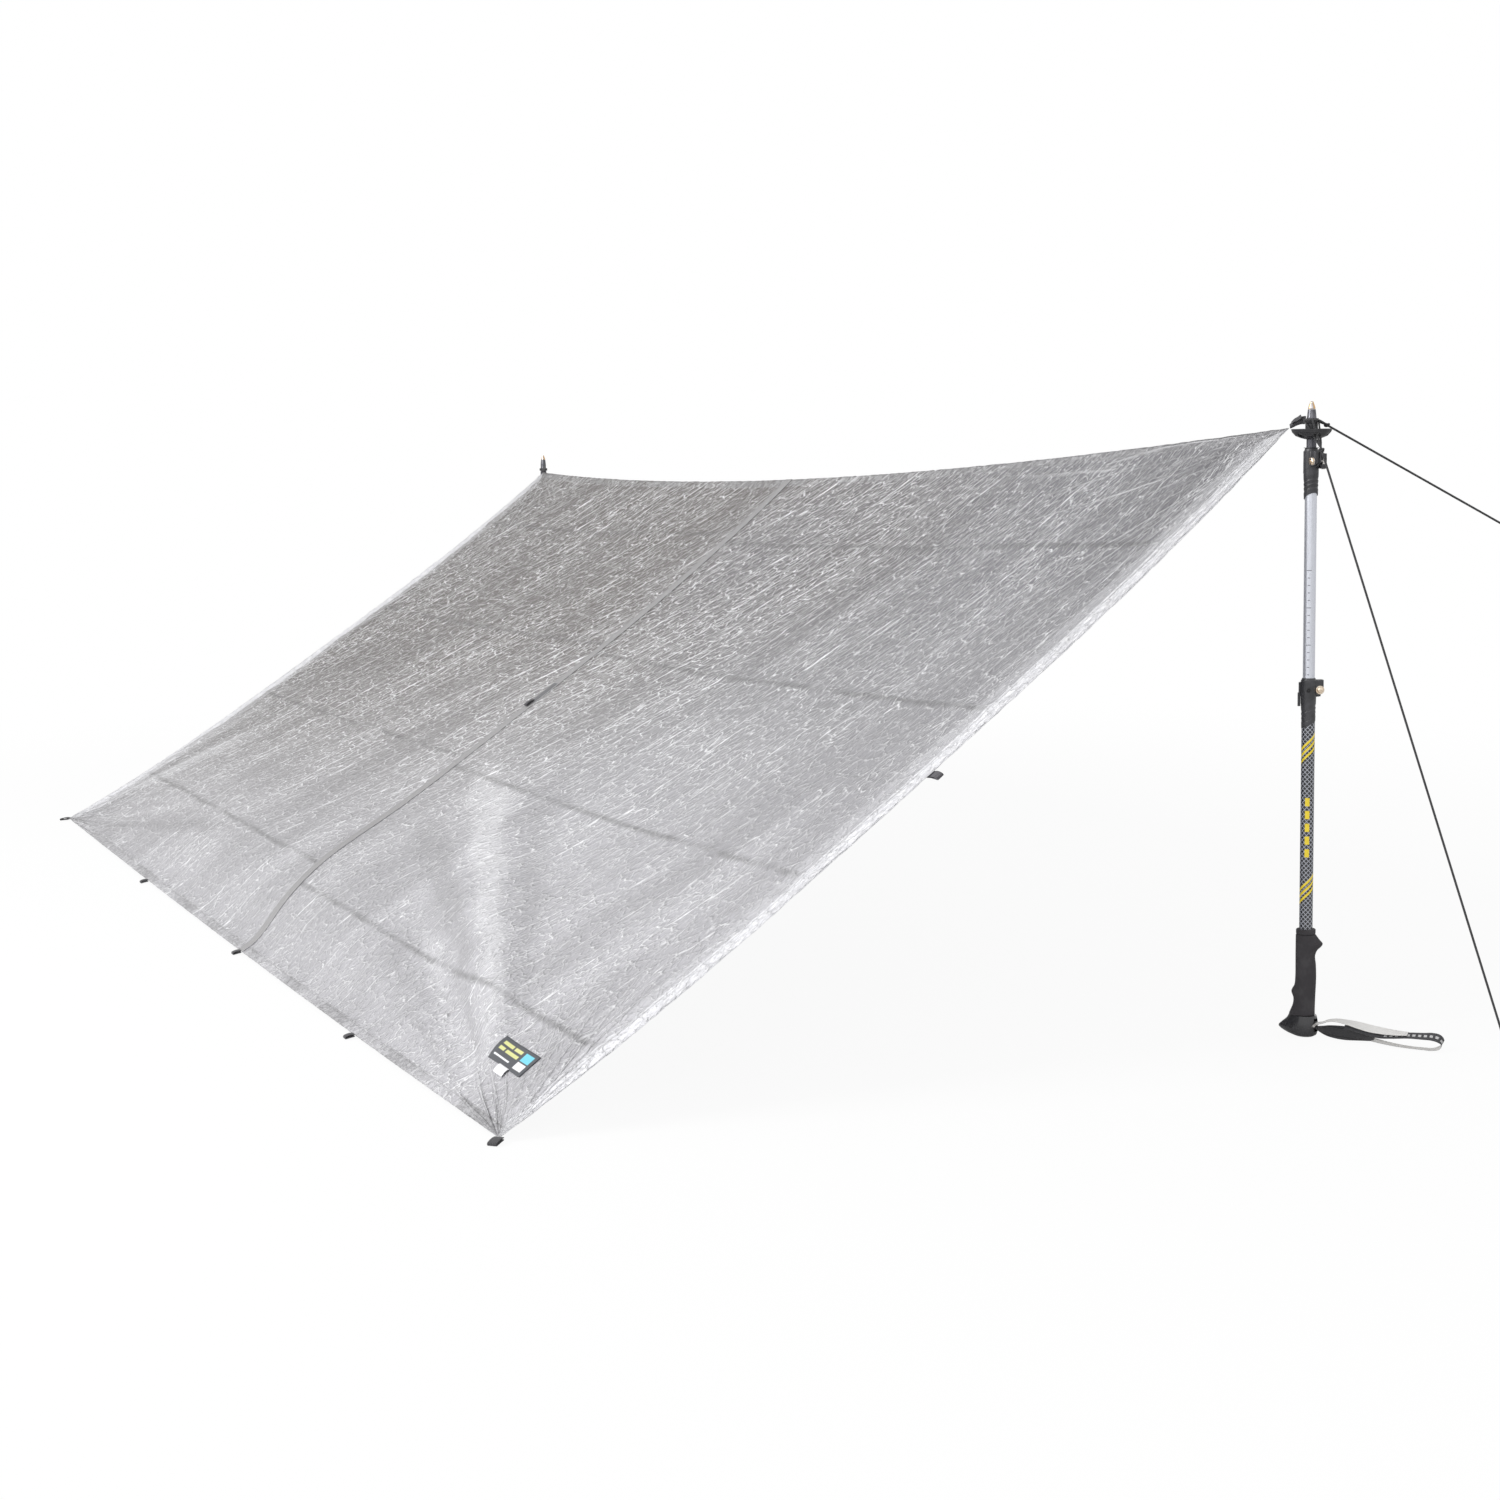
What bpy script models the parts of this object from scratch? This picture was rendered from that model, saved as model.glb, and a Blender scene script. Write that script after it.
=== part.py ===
# Camping tarp pitched as a lean-to on two trekking poles.
# Frame: origin under the right pole, +X runs from the left pole to the right pole,
# +Y runs from the ground edge to the raised edge, +Z is up. Metres.
import math

import bpy
import bmesh
from mathutils import Matrix, Vector

# Sheet
pole_distance = 3.064
right_pole_height = 0.861
left_pole_height = 0.774
right_corner_drop = 0.035
left_corner_drop = 0.041
corner_reach = 0.030
right_corner_bearing = -135.0
left_corner_bearing = -20.0
front_reach_right = 1.157
front_reach_left = 1.188
front_right_shift = -0.004
front_span = 2.878
front_height = 0.0045
front_bow = 0.010
front_draw = 0.26
front_draw_skew = 0.25
front_draw_fade = 0.20
back_sag = 0.052
back_drop = 0.013
side_sag = 0.030
hump_height = 0.030
hump_place = 0.13
hump_spread = 0.13
hump_start = 0.05
middle_sag = 0.006
sheet_thickness = 0.0016
sheet_columns = 18
sheet_rows = 20
sheet_row_bias = 1.25
seam_gap = 0.0006
seam_tape_width = 0.028
seam_tape_thickness = 0.0006
layer_gap = 0.0005
touch_gap = 0.0003
cut_margin = 0.004

# Folds that fan out from the corners
near_fold_angle = 12.5
near_fold_depth = 0.012
near_fold_spread = 4.0
far_fold_angle = 21.5
far_fold_height = 0.012
far_fold_spread = 4.5
left_fold_angle = 28.0
left_fold_height = 0.007
left_fold_spread = 7.0
fold_start = 0.31
fold_end = 1.15
fold_fade = 0.10

# Patches and loops on the sheet
label_width = 0.110
label_height = 0.039
label_side_offset = 0.108
label_up_slope = 0.083
label_thickness = 0.0006
care_tag_width = 0.030
care_tag_height = 0.013
care_tag_thickness = 0.0005
care_tag_share = 0.40
centre_patch_width = 0.017
centre_patch_height = 0.062
centre_patch_place = 0.545
centre_patch_thickness = 0.0008
webbing_thickness = 0.0014
edge_loop_width = 0.011
edge_loop_length = 0.014
edge_loop_tab = 0.018
corner_loop_width = 0.013
corner_loop_length = 0.020
loop_eye_height = 0.0052
centre_loop_length = 0.014
centre_loop_width = 0.010
centre_loop_share = 0.30
front_loop_places = (0.25, 0.5, 0.75)
side_loop_place = 0.52
under_loop_inset = 0.007

# Pole tubes, heights above the ground with the pole upside down
handle_shaft_diameter = 0.018
middle_tube_diameter = 0.016
tip_section_diameter = 0.0132
slide_clearance = 0.0003
handle_shaft_foot = 0.012
middle_tube_insert = 0.100
tip_section_insert = 0.070
tip_section_show = 0.013
middle_tube_show = 0.243
tube_seat_depth = 0.030

# Grip
head_height = 0.029
head_beak_reach = 0.037
head_strap_reach = 0.0178
head_width = 0.033
head_beak_taper = 0.45
foam_start = 0.0293
foam_height = 0.112
foam_width = 0.0275
grip_ring_height = 0.007
grip_ring_diameter = 0.0262
grip_ring_edge = 0.0012
strap_pin_diameter = 0.004
strap_pin_height = 0.0165
strap_pin_offset = 0.0155
strap_pin_length = 0.0175
strap_mouth_height = 0.018
strap_mouth_clearance = 0.0005

# Grip head, from the ground up: height share, reach on the beak's side, reach on the strap's side, width
head_rows = (
    (0.00, 0.42, 0.66, 0.62),
    (0.06, 0.58, 0.84, 0.80),
    (0.20, 0.84, 0.96, 0.94),
    (0.38, 1.00, 1.00, 1.00),
    (0.58, 0.88, 1.00, 0.99),
    (0.80, 0.69, 0.97, 0.94),
    (1.00, 0.60, 0.88, 0.88),
)

# Foam handle, from the head up: height share, swell on the strap's side, swell on the beak's side
foam_rows = (
    (0.00, 0.97, 1.62),
    (0.05, 0.96, 1.45),
    (0.12, 0.97, 1.22),
    (0.20, 0.99, 1.15),
    (0.29, 1.02, 1.36),
    (0.37, 1.05, 1.06),
    (0.47, 1.07, 0.98),
    (0.62, 1.03, 0.97),
    (0.75, 0.96, 0.98),
    (0.81, 1.18, 0.98),
    (0.86, 1.58, 0.98),
    (0.89, 1.70, 0.98),
    (0.93, 1.42, 0.98),
    (1.00, 0.94, 0.97),
)

# Wrist strap
strap_length = 0.176
strap_band_width = 0.013
strap_band_thickness = 0.0016
strap_end_height = 0.012

# Clamps
clamp_sleeve_height = 0.031
clamp_sleeve_wall = 0.0011
clamp_slant = 0.004
clamp_band_height = 0.032
clamp_ear_reach = 0.0195
clamp_ear_half = 0.005
clamp_slot = 0.0015
clamp_rib_height = 0.0006
clamp_rib_count = 3
clamp_rib_rise = 0.0035
clamp_flange_height = 0.002
clamp_flange_step = 0.0004
clamp_join = 0.001
clamp_ear_round = 0.003
clamp_screw_reach = 0.014
clamp_screw_diameter = 0.0034
clamp_nut_diameter = 0.0078
clamp_nut_height = 0.0026
clamp_nut_edge = 0.0005
lever_pin_diameter = 0.0044
lever_hub_radius = 0.0045
lever_height = 0.020
lever_thickness = 0.0022
lever_body_gap = 0.0007
lever_start_angle = 62.0
lever_end_angle = 186.0
lever_window_height = 0.0085
lever_travel = 110.0
lever_tab_drop = 0.012
lever_tab_turn = 26.0
lever_tab_step = 0.0012
lever_tab_join = 0.006
lever_pin_show = 0.0008

# Tip
basket_diameter = 0.054
basket_hub_diameter = 0.0168
basket_hub_height = 0.0215
basket_rise = 0.013
basket_wall = 0.0018
basket_slot_count = 6
basket_slot_width = 0.0092
basket_web = 0.0028
basket_rim = 0.0018
basket_rim_height = 0.0036
basket_hub_edge = 0.001
ferrule_height = 0.0395
ferrule_top_diameter = 0.0102
thread_diameter = 0.0148
thread_height = 0.012
thread_edge = 0.0009
ferrule_taper = 0.0105
ferrule_step = 0.0002
tip_cap_height = 0.0105
tip_cap_diameter = 0.0096
tip_point_diameter = 0.0030
corner_ring_height = 0.0058
corner_ring_wall = 0.0020
corner_ring_clearance = 0.0008
corner_strap_width = 0.010
corner_strap_bend = 0.006
corner_strap_hump = 0.007
corner_strap_seat = 0.0022
corner_strap_gap = 0.0014

# Guy lines, taut, drawn to just past what can be seen of them
guy_diameter = 0.0030
guy_right_start = 82.0
guy_right_bearing = 82.0
guy_right_reach = 0.292
guy_right_end_height = 0.690
guy_front_start = -30.0
guy_front_bearing = 0.0
guy_front_reach = 0.412
guy_front_end_height = 0.066
guy_loop_length = 0.030
guy_loop_width = 0.014
guy_lead = 0.0015
guy_bend = 0.012
guy_knee_reach = 0.0025
guy_knee_drop = 0.001
basket_slot_bearing = -17.0
guy_bend_steps = 5
guy_steps = 28

# Plan bearings of the pole fittings, degrees from +X
strap_bearing = 35.0
handle_clamp_bearing = 66.0
tip_clamp_bearing = -4.0

right_corner_height = right_pole_height - right_corner_drop
left_corner_height = left_pole_height - left_corner_drop
clamp_height = clamp_sleeve_height + clamp_band_height
clamp_outer_radius = handle_shaft_diameter / 2 + slide_clearance + clamp_sleeve_wall
lever_hub_y = clamp_ear_half + touch_gap + lever_hub_radius
lever_hub_x = clamp_screw_reach

# How finely round things are divided
tube_sides = 22
grip_sides = 22
small_sides = 16
basket_sides = 30
sleeve_sides = 18
band_points = 21


# Basic tools
def make_material(name, colour, roughness, metallic=0.0):
    material = bpy.data.materials.new(name)
    material.use_nodes = True
    shader = material.node_tree.nodes["Principled BSDF"]
    shader.inputs["Base Color"].default_value = (*colour, 1.0)
    shader.inputs["Roughness"].default_value = roughness
    shader.inputs["Metallic"].default_value = metallic
    material.diffuse_color = (*colour, 1.0)
    return material


def place(point, bearing, origin=(0.0, 0.0, 0.0)):
    turned = Matrix.Rotation(math.radians(bearing), 4, "Z")
    return Matrix.Translation(Vector(origin)) @ turned @ Matrix.Translation(Vector(point))


def add_object(name, bm, material, matrix=None, smooth=35.0):
    mesh = bpy.data.meshes.new(name)
    bmesh.ops.recalc_face_normals(bm, faces=bm.faces[:])
    bm.to_mesh(mesh)
    bm.free()
    mesh.materials.append(material)
    if smooth:
        mesh.shade_smooth()
        mesh.set_sharp_from_angle(angle=math.radians(smooth))
    thing = bpy.data.objects.new(name, mesh)
    bpy.context.scene.collection.objects.link(thing)
    if matrix is not None:
        thing.matrix_world = matrix
    return thing


def as_guide(thing):
    thing.hide_render = True
    thing.display_type = "WIRE"
    return thing


def combine(thing, tool, operation):
    as_guide(tool)
    step = thing.modifiers.new(operation.lower(), "BOOLEAN")
    step.operation = operation
    step.solver = "EXACT"
    step.object = tool


def loft(rings, closed=False):
    """Skin a list of rings, each a list of points; closed joins the last ring to the first."""
    bm = bmesh.new()
    made = [[bm.verts.new(p) for p in ring] for ring in rings]
    pairs = list(zip(made, made[1:]))
    if closed:
        pairs.append((made[-1], made[0]))
    for low, high in pairs:
        count = len(low)
        for i in range(count):
            j = (i + 1) % count
            bm.faces.new((low[i], low[j], high[j], high[i]))
    if not closed:
        bm.faces.new(list(reversed(made[0])))
        bm.faces.new(made[-1])
    return bm


def circle(radius, z, sides, squash=1.0, shift=0.0):
    turns = [2 * math.pi * i / sides for i in range(sides)]
    return [(shift + radius * math.cos(a), radius * squash * math.sin(a), z) for a in turns]


def turned(profile, sides, closed):
    """Turn a profile of (radius, height) pairs about Z."""
    return loft([circle(r, z, sides) for r, z in profile], closed)


def prism(outline, low, high):
    return loft([[(x, y, low) for x, y in outline], [(x, y, high) for x, y in outline]])


def arc(centre, radius, start, end, count):
    points = []
    for i in range(count):
        angle = math.radians(start + (end - start) * i / (count - 1))
        points.append((centre[0] + radius * math.cos(angle), centre[1] + radius * math.sin(angle)))
    return points


# Sheet surface: u runs along the sheet from left to right, v from the ground edge up to the raised edge
def corner_point(x, bearing, height):
    angle = math.radians(bearing)
    return Vector((x + corner_reach * math.cos(angle), corner_reach * math.sin(angle), height))


front_left = Vector((front_right_shift - front_span, -front_reach_left, front_height))
front_right = Vector((front_right_shift, -front_reach_right, front_height))
back_right = corner_point(0.0, right_corner_bearing, right_corner_height)
back_left = corner_point(-pole_distance, left_corner_bearing, left_corner_height)
down_slope = (front_left + front_right - back_left - back_right).normalized()
sheet_length = (back_right - back_left).length
sheet_width = (back_right - front_right).length


def front_edge(u):
    point = front_left.lerp(front_right, u)
    point.y -= front_bow * 4 * u * (1 - u)
    return point


def back_edge(u):
    slack = 4 * u * (1 - u)
    return back_left.lerp(back_right, u) + slack * (back_sag * down_slope - Vector((0, 0, back_drop)))


def side_edge(low, high, v):
    return low.lerp(high, v) - Vector((0, 0, side_sag * (1 - abs(2 * v - 1) ** 3)))


def flat_point(u, v):
    along = (1 - v) * front_edge(u) + v * back_edge(u)
    across = (1 - u) * side_edge(front_left, back_left, v) + u * side_edge(front_right, back_right, v)
    low = front_left.lerp(front_right, u)
    high = back_left.lerp(back_right, u)
    drawn = front_draw * u * (1 - u) * (1 + front_draw_skew * (1 - 2 * u))
    shift = (front_right - front_left) * drawn * math.exp(-(v / front_draw_fade) ** 2)
    return along + across - low.lerp(high, v) + shift


def sheet_normal(u, v):
    step = 0.001
    along = flat_point(min(u + step, 1), v) - flat_point(max(u - step, 0), v)
    across = flat_point(u, min(v + step, 1)) - flat_point(u, max(v - step, 0))
    return along.cross(across).normalized()


def fan_fold(x, y, angle, height, spread):
    """One fold that runs out from a corner; x and y are metres from the corner along the two edges."""
    reach = math.hypot(x, y)
    turn = math.degrees(math.atan2(y, x)) if reach > 0 else angle
    rise = 1 / (1 + math.exp(-(reach - fold_start) / (fold_fade * 0.4)))
    fall = 1 / (1 + math.exp((reach - fold_end) / fold_fade))
    return height * rise * fall * math.exp(-((turn - angle) / spread) ** 2)


def sheet_relief(u, v):
    across = math.sin(math.pi * u) ** 0.7 if 0 < u < 1 else 0.0
    rise = 1 - math.exp(-(v / hump_start) ** 2)
    hump = hump_height * math.exp(-((v - hump_place) / hump_spread) ** 2) * rise
    from_right = ((1 - u) * sheet_length, v * sheet_width)
    from_left = (u * sheet_length, v * sheet_width)
    folds = fan_fold(*from_right, far_fold_angle, far_fold_height, far_fold_spread)
    folds -= fan_fold(*from_right, near_fold_angle, near_fold_depth, near_fold_spread)
    folds += fan_fold(*from_left, left_fold_angle, left_fold_height, left_fold_spread)
    edge = min(1.0, v / 0.06) * min(1.0, (1 - v) / 0.06) * min(1.0, u / 0.03) * min(1.0, (1 - u) / 0.03)
    return across * (hump - middle_sag * math.sin(math.pi * v)) + folds * edge


def sheet_point(u, v, lift=0.0):
    return flat_point(u, v) + sheet_normal(u, v) * (sheet_relief(u, v) + lift)


def u_at(x, v):
    low, high = 0.0, 1.0
    for _ in range(40):
        middle = (low + high) / 2
        if flat_point(middle, v).x < x:
            low = middle
        else:
            high = middle
    return (low + high) / 2


def grid_lines(start, end, count, features, bias=1.0):
    """Spread lines from start to end, pass exactly through the features, and drop lines too close to them."""
    spread = [start + (end - start) * (i / count) ** bias for i in range(count + 1)]
    near = abs(end - start) / count * 0.35
    kept = [line for line in spread if all(abs(line - f) > near for f in features) or line in (start, end)]
    return sorted(set(kept) | set(features), reverse=end < start)


label_low_v = label_up_slope / sheet_width
label_high_v = label_low_v + label_height / sheet_width
label_left_u = u_at(front_right.x - label_side_offset - label_width, label_high_v)
label_right_u = u_at(front_right.x - label_side_offset, label_high_v)
tag_low_v = label_low_v - care_tag_height / sheet_width
tag_left_u = label_left_u + (label_right_u - label_left_u) * care_tag_share
tag_right_u = tag_left_u + (label_right_u - label_left_u) * care_tag_width / label_width
patch_low_v = centre_patch_place - centre_patch_height / 2 / sheet_width
patch_high_v = centre_patch_place + centre_patch_height / 2 / sheet_width
tape_left_u = 0.5 - seam_tape_width / 2 / sheet_length
tape_right_u = 0.5 + seam_tape_width / 2 / sheet_length
gap_u = seam_gap / 2 / sheet_length
row_features = [tag_low_v, label_low_v, label_high_v, patch_low_v, patch_high_v]
column_features = [tape_right_u, label_left_u, tag_left_u, tag_right_u, label_right_u]
sheet_v = grid_lines(0.0, 1.0, sheet_rows, row_features, sheet_row_bias)
left_u = grid_lines(0.0, 0.5 - gap_u, sheet_columns, [tape_left_u])
right_u = grid_lines(0.5 + gap_u, 1.0, sheet_columns, column_features)


def layer(name, us, vs, bottom, top, material):
    """A closed layer between two heights above the sheet surface, on the lines us and vs."""
    bm = bmesh.new()
    upper = [[bm.verts.new(sheet_point(u, v, top)) for u in us] for v in vs]
    lower = [[bm.verts.new(sheet_point(u, v, bottom)) for u in us] for v in vs]
    last_row = len(vs) - 1
    last_column = len(us) - 1
    for i in range(last_row):
        for j in range(last_column):
            bm.faces.new((upper[i][j], upper[i][j + 1], upper[i + 1][j + 1], upper[i + 1][j]))
            bm.faces.new((lower[i][j], lower[i + 1][j], lower[i + 1][j + 1], lower[i][j + 1]))
    for i in range(last_row):
        bm.faces.new((upper[i][0], upper[i + 1][0], lower[i + 1][0], lower[i][0]))
        bm.faces.new((upper[i][last_column], lower[i][last_column], lower[i + 1][last_column],
                      upper[i + 1][last_column]))
    for j in range(last_column):
        bm.faces.new((upper[0][j], lower[0][j], lower[0][j + 1], upper[0][j + 1]))
        bm.faces.new((upper[last_row][j], upper[last_row][j + 1], lower[last_row][j + 1], lower[last_row][j]))
    bmesh.ops.triangulate(bm, faces=bm.faces[:], quad_method="FIXED")
    return add_object(name, bm, material, smooth=60.0)


def frame_on(origin, outward, up):
    """A matrix with X outward, Z nearest to up and Y along what is left."""
    x_axis = outward.normalized()
    y_axis = up.cross(x_axis).normalized()
    z_axis = x_axis.cross(y_axis).normalized()
    turned_frame = Matrix((x_axis, y_axis, z_axis)).transposed().to_4x4()
    return Matrix.Translation(origin) @ turned_frame


def webbing_loop(name, matrix, width, length, tab, material, eye_height=loop_eye_height):
    """A folded strap: a flat tab of two layers that opens into an eye. The eye runs along local Y."""
    thick = webbing_thickness
    half_eye = eye_height / 2
    steps = 7
    outer = []
    inner = []
    for i in range(2 * steps):
        angle = math.pi * (i + 0.5) / steps
        reach = 0.5 - 0.5 * math.cos(angle)
        swell = math.sin(angle)
        inner.append((thick + reach * (length - 2 * thick), half_eye * swell))
        outer.append((reach * length, (half_eye + thick) * swell))
    for points in (outer, inner):
        points.sort(key=lambda p: math.atan2(p[1], p[0] - length / 2))
    rings = []
    for y in (-width / 2, width / 2):
        rings.append([(x, y, z) for x, z in outer])
    rings.append([(x, width / 2, z) for x, z in inner])
    rings.append([(x, -width / 2, z) for x, z in inner])
    loop = add_object(name, loft(rings, closed=True), material, matrix)
    if tab:
        reach = thick * 1.5
        outline = [(-tab, -thick), (reach, -thick), (reach, thick), (-tab, thick)]
        bm = loft([[(x, -width / 2, z) for x, z in outline], [(x, width / 2, z) for x, z in outline]])
        combine(loop, add_object(name + "_tab_guide", bm, material, matrix), "UNION")
    return loop


def make_sheet(cloth, tape, webbing, print_cloth, tag_cloth, trim):
    layer("left_panel", left_u, sheet_v, -sheet_thickness, 0.0, cloth)
    layer("right_panel", right_u, sheet_v, -sheet_thickness, 0.0, cloth)
    tape_low = layer_gap
    tape_high = tape_low + seam_tape_thickness
    tape_us = (tape_left_u, 0.5 - gap_u, 0.5 + gap_u, tape_right_u)
    layer("centre_seam_tape", tape_us, sheet_v, tape_low, tape_high, tape)
    patch_us = (0.5 - centre_patch_width / 2 / sheet_length, 0.5 - gap_u, 0.5 + gap_u,
                0.5 + centre_patch_width / 2 / sheet_length)
    patch_vs = [v for v in sheet_v if patch_low_v <= v <= patch_high_v]
    patch_low = tape_high + layer_gap
    patch_high = patch_low + centre_patch_thickness
    layer("centre_loop_patch", patch_us, patch_vs, patch_low, patch_high, trim)
    label_vs = [v for v in sheet_v if label_low_v <= v <= label_high_v]
    label_us = [u for u in right_u if label_left_u <= u <= label_right_u]
    layer("label_patch", label_us, label_vs, layer_gap, layer_gap + label_thickness, print_cloth)
    tag_low = layer_gap + label_thickness + layer_gap
    tag_us = [u for u in right_u if tag_left_u <= u <= tag_right_u]
    tag_vs = [v for v in sheet_v if tag_low_v <= v <= label_low_v]
    layer("care_tag", tag_us, tag_vs, tag_low, tag_low + care_tag_thickness, tag_cloth)
    make_loops(webbing, patch_high)


def hem_frame(u, v, inset_u):
    """Where a loop stands out from a short edge of the sheet, its two layers under the hem."""
    edge = sheet_point(u, v)
    inside = sheet_point(u - inset_u, v)
    normal = sheet_normal(u, v)
    under = edge - normal * (sheet_thickness + layer_gap + webbing_thickness)
    return frame_on(under, edge - inside, normal)


def under_frame(u, v, along):
    """Where a loop hangs behind the hem, square to the sheet; along is the way the edge runs."""
    normal = sheet_normal(u, v)
    start = sheet_point(u, v) - normal * (sheet_thickness + touch_gap)
    return frame_on(start, -normal, normal.cross(along))


def make_loops(webbing, patch_top):
    along_back = (back_right - back_left).normalized()
    along_left = (back_left - front_left).normalized()
    inset_u = under_loop_inset / sheet_length
    inset_v = under_loop_inset / sheet_width
    for number, u in enumerate(front_loop_places, 1):
        matrix = ground_frame(u, 0.0)
        webbing_loop(f"front_loop_{number}", matrix, edge_loop_width, edge_loop_length, 0.0, webbing)
        matrix = under_frame(u, 1.0 - inset_v, along_back)
        webbing_loop(f"back_loop_{number}", matrix, edge_loop_width, edge_loop_length, 0.0, webbing)
    matrix = under_frame(inset_u, side_loop_place, along_left)
    webbing_loop("left_edge_loop", matrix, edge_loop_width, edge_loop_length, 0.0, webbing)
    matrix = hem_frame(1.0, side_loop_place, inset_u)
    webbing_loop("right_edge_loop", matrix, edge_loop_width, edge_loop_length, edge_loop_tab, webbing)
    webbing_loop("front_left_corner_loop", ground_frame(0.0, 1.0), corner_loop_width, corner_loop_length,
                 0.0, webbing)
    webbing_loop("front_right_corner_loop", ground_frame(1.0, -1.0), corner_loop_width, corner_loop_length,
                 0.0, webbing)
    v = patch_low_v + centre_loop_share * (patch_high_v - patch_low_v)
    base = sheet_point(0.5, v, patch_top + layer_gap)
    across = sheet_point(tape_right_u, v) - sheet_point(tape_left_u, v)
    matrix = frame_on(base, sheet_normal(0.5, v), across)
    webbing_loop("centre_loop", matrix, centre_loop_width, centre_loop_length, 0.0, webbing)


def ground_frame(u, corner):
    """Where a loop lies on the ground in front of the hem; corner turns it outward along the diagonal."""
    edge = sheet_point(u, 0.0)
    outward = Vector((-corner, -1.0, 0.0)).normalized()
    start = edge + outward * touch_gap
    start.z = loop_eye_height / 2 + webbing_thickness
    return frame_on(start, outward, Vector((0, 0, 1)))


# Pole
def pole_materials():
    return {
        "grip": make_material("grip_rubber", (0.045, 0.043, 0.048), 0.45),
        "foam": make_material("grip_foam", (0.055, 0.052, 0.056), 0.85),
        "woven": make_material("woven_shaft", (0.08, 0.09, 0.12), 0.35),
        "bare": make_material("bare_tube", (0.55, 0.57, 0.66), 0.30, 0.9),
        "dark": make_material("dark_tube", (0.10, 0.10, 0.115), 0.35, 0.6),
        "clamp": make_material("clamp_plastic", (0.045, 0.045, 0.05), 0.42),
        "steel": make_material("steel", (0.62, 0.60, 0.58), 0.28, 1.0),
        "cap": make_material("tip_metal", (0.70, 0.60, 0.48), 0.25, 1.0),
        "strap": make_material("strap_webbing", (0.08, 0.08, 0.085), 0.80),
    }


def make_grip(side, matrix, materials):
    half_wide = head_width / 2
    shaft_hole = handle_shaft_diameter / 2 + slide_clearance
    rings = []
    for share, beak_share, strap_share, wide_share in head_rows:
        z = share * head_height
        ring = []
        for i in range(grip_sides):
            a = 2 * math.pi * i / grip_sides
            reach = head_beak_reach * beak_share if math.cos(a) > 0 else head_strap_reach * strap_share
            taper = 1.0 - head_beak_taper * max(0.0, math.cos(a)) ** 2
            ring.append((reach * math.cos(a), half_wide * wide_share * taper * math.sin(a), z))
        rings.append(ring)
    beak = matrix @ Matrix.Rotation(math.pi, 4, "Z")
    head = add_object(side + "_grip_head", loft(rings), materials["grip"], beak)
    socket_rows = [(shaft_hole, handle_shaft_foot - touch_gap), (shaft_hole, head_height + cut_margin)]
    socket = turned(socket_rows, tube_sides, False)
    combine(head, add_object(side + "_head_socket_guide", socket, materials["grip"], beak), "DIFFERENCE")
    round_pin = strap_pin_diameter / 2 + touch_gap + strap_band_thickness + strap_mouth_clearance
    mouth_start = strap_pin_offset - round_pin
    half_mouth = strap_band_width / 2 + strap_mouth_clearance
    mouth_end = head_strap_reach + cut_margin
    mouth = [(mouth_start, -half_mouth), (mouth_end, -half_mouth), (mouth_end, half_mouth),
             (mouth_start, half_mouth)]
    low = strap_pin_height - strap_mouth_height / 2
    cutter = prism(mouth, low, low + strap_mouth_height)
    combine(head, add_object(side + "_head_mouth_guide", cutter, materials["grip"], matrix), "DIFFERENCE")
    pin_hole = across_pin(strap_pin_diameter / 2 + touch_gap, head_width + cut_margin)
    spot = matrix @ Matrix.Translation((strap_pin_offset, 0.0, strap_pin_height))
    combine(head, add_object(side + "_head_pin_guide", pin_hole, materials["grip"], spot), "DIFFERENCE")
    pin = across_pin(strap_pin_diameter / 2, strap_pin_length)
    add_object(side + "_strap_pin", pin, materials["steel"], spot)
    make_foam(side, matrix, materials["foam"], shaft_hole)
    ring_low = foam_start + foam_height + touch_gap
    outer = grip_ring_diameter / 2
    edge = grip_ring_edge
    profile = [(shaft_hole, ring_low), (outer - edge, ring_low), (outer, ring_low + edge),
               (outer, ring_low + grip_ring_height - edge), (outer - edge, ring_low + grip_ring_height),
               (shaft_hole, ring_low + grip_ring_height)]
    add_object(side + "_grip_ring", turned(profile, tube_sides, True), materials["grip"], matrix)


def across_pin(radius, length):
    """A round pin along local Y."""
    rings = []
    for y in (-length / 2, length / 2):
        rings.append([(radius * math.cos(2 * math.pi * i / 16), y, radius * math.sin(2 * math.pi * i / 16))
                      for i in range(16)])
    return loft(rings)


def make_foam(side, matrix, material, hole):
    half = foam_width / 2
    outer = []
    inner = []
    for share, bulge, beak_bulge in foam_rows:
        z = foam_start + share * foam_height
        ring = []
        for i in range(grip_sides):
            a = 2 * math.pi * i / grip_sides
            long_half = half * (bulge if math.cos(a) > 0 else beak_bulge)
            weight = abs(math.cos(a)) ** 2
            radius = half * (1 - weight) + long_half * weight
            ring.append((radius * math.cos(a), radius * 0.96 * math.sin(a), z))
        outer.append(ring)
        inner.append(circle(hole, z, grip_sides))
    rings = outer + [inner[-1], inner[0]]
    add_object(side + "_foam_grip", loft(rings, closed=True), material, matrix)


def grown(outline, distance):
    """The outline moved outward by a distance along its normals."""
    moved = []
    count = len(outline)
    for i, (x, y) in enumerate(outline):
        before = outline[i - 1]
        after = outline[(i + 1) % count]
        tangent = Vector((after[0] - before[0], after[1] - before[1])).normalized()
        moved.append((x + tangent.y * distance, y - tangent.x * distance))
    return moved


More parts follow.
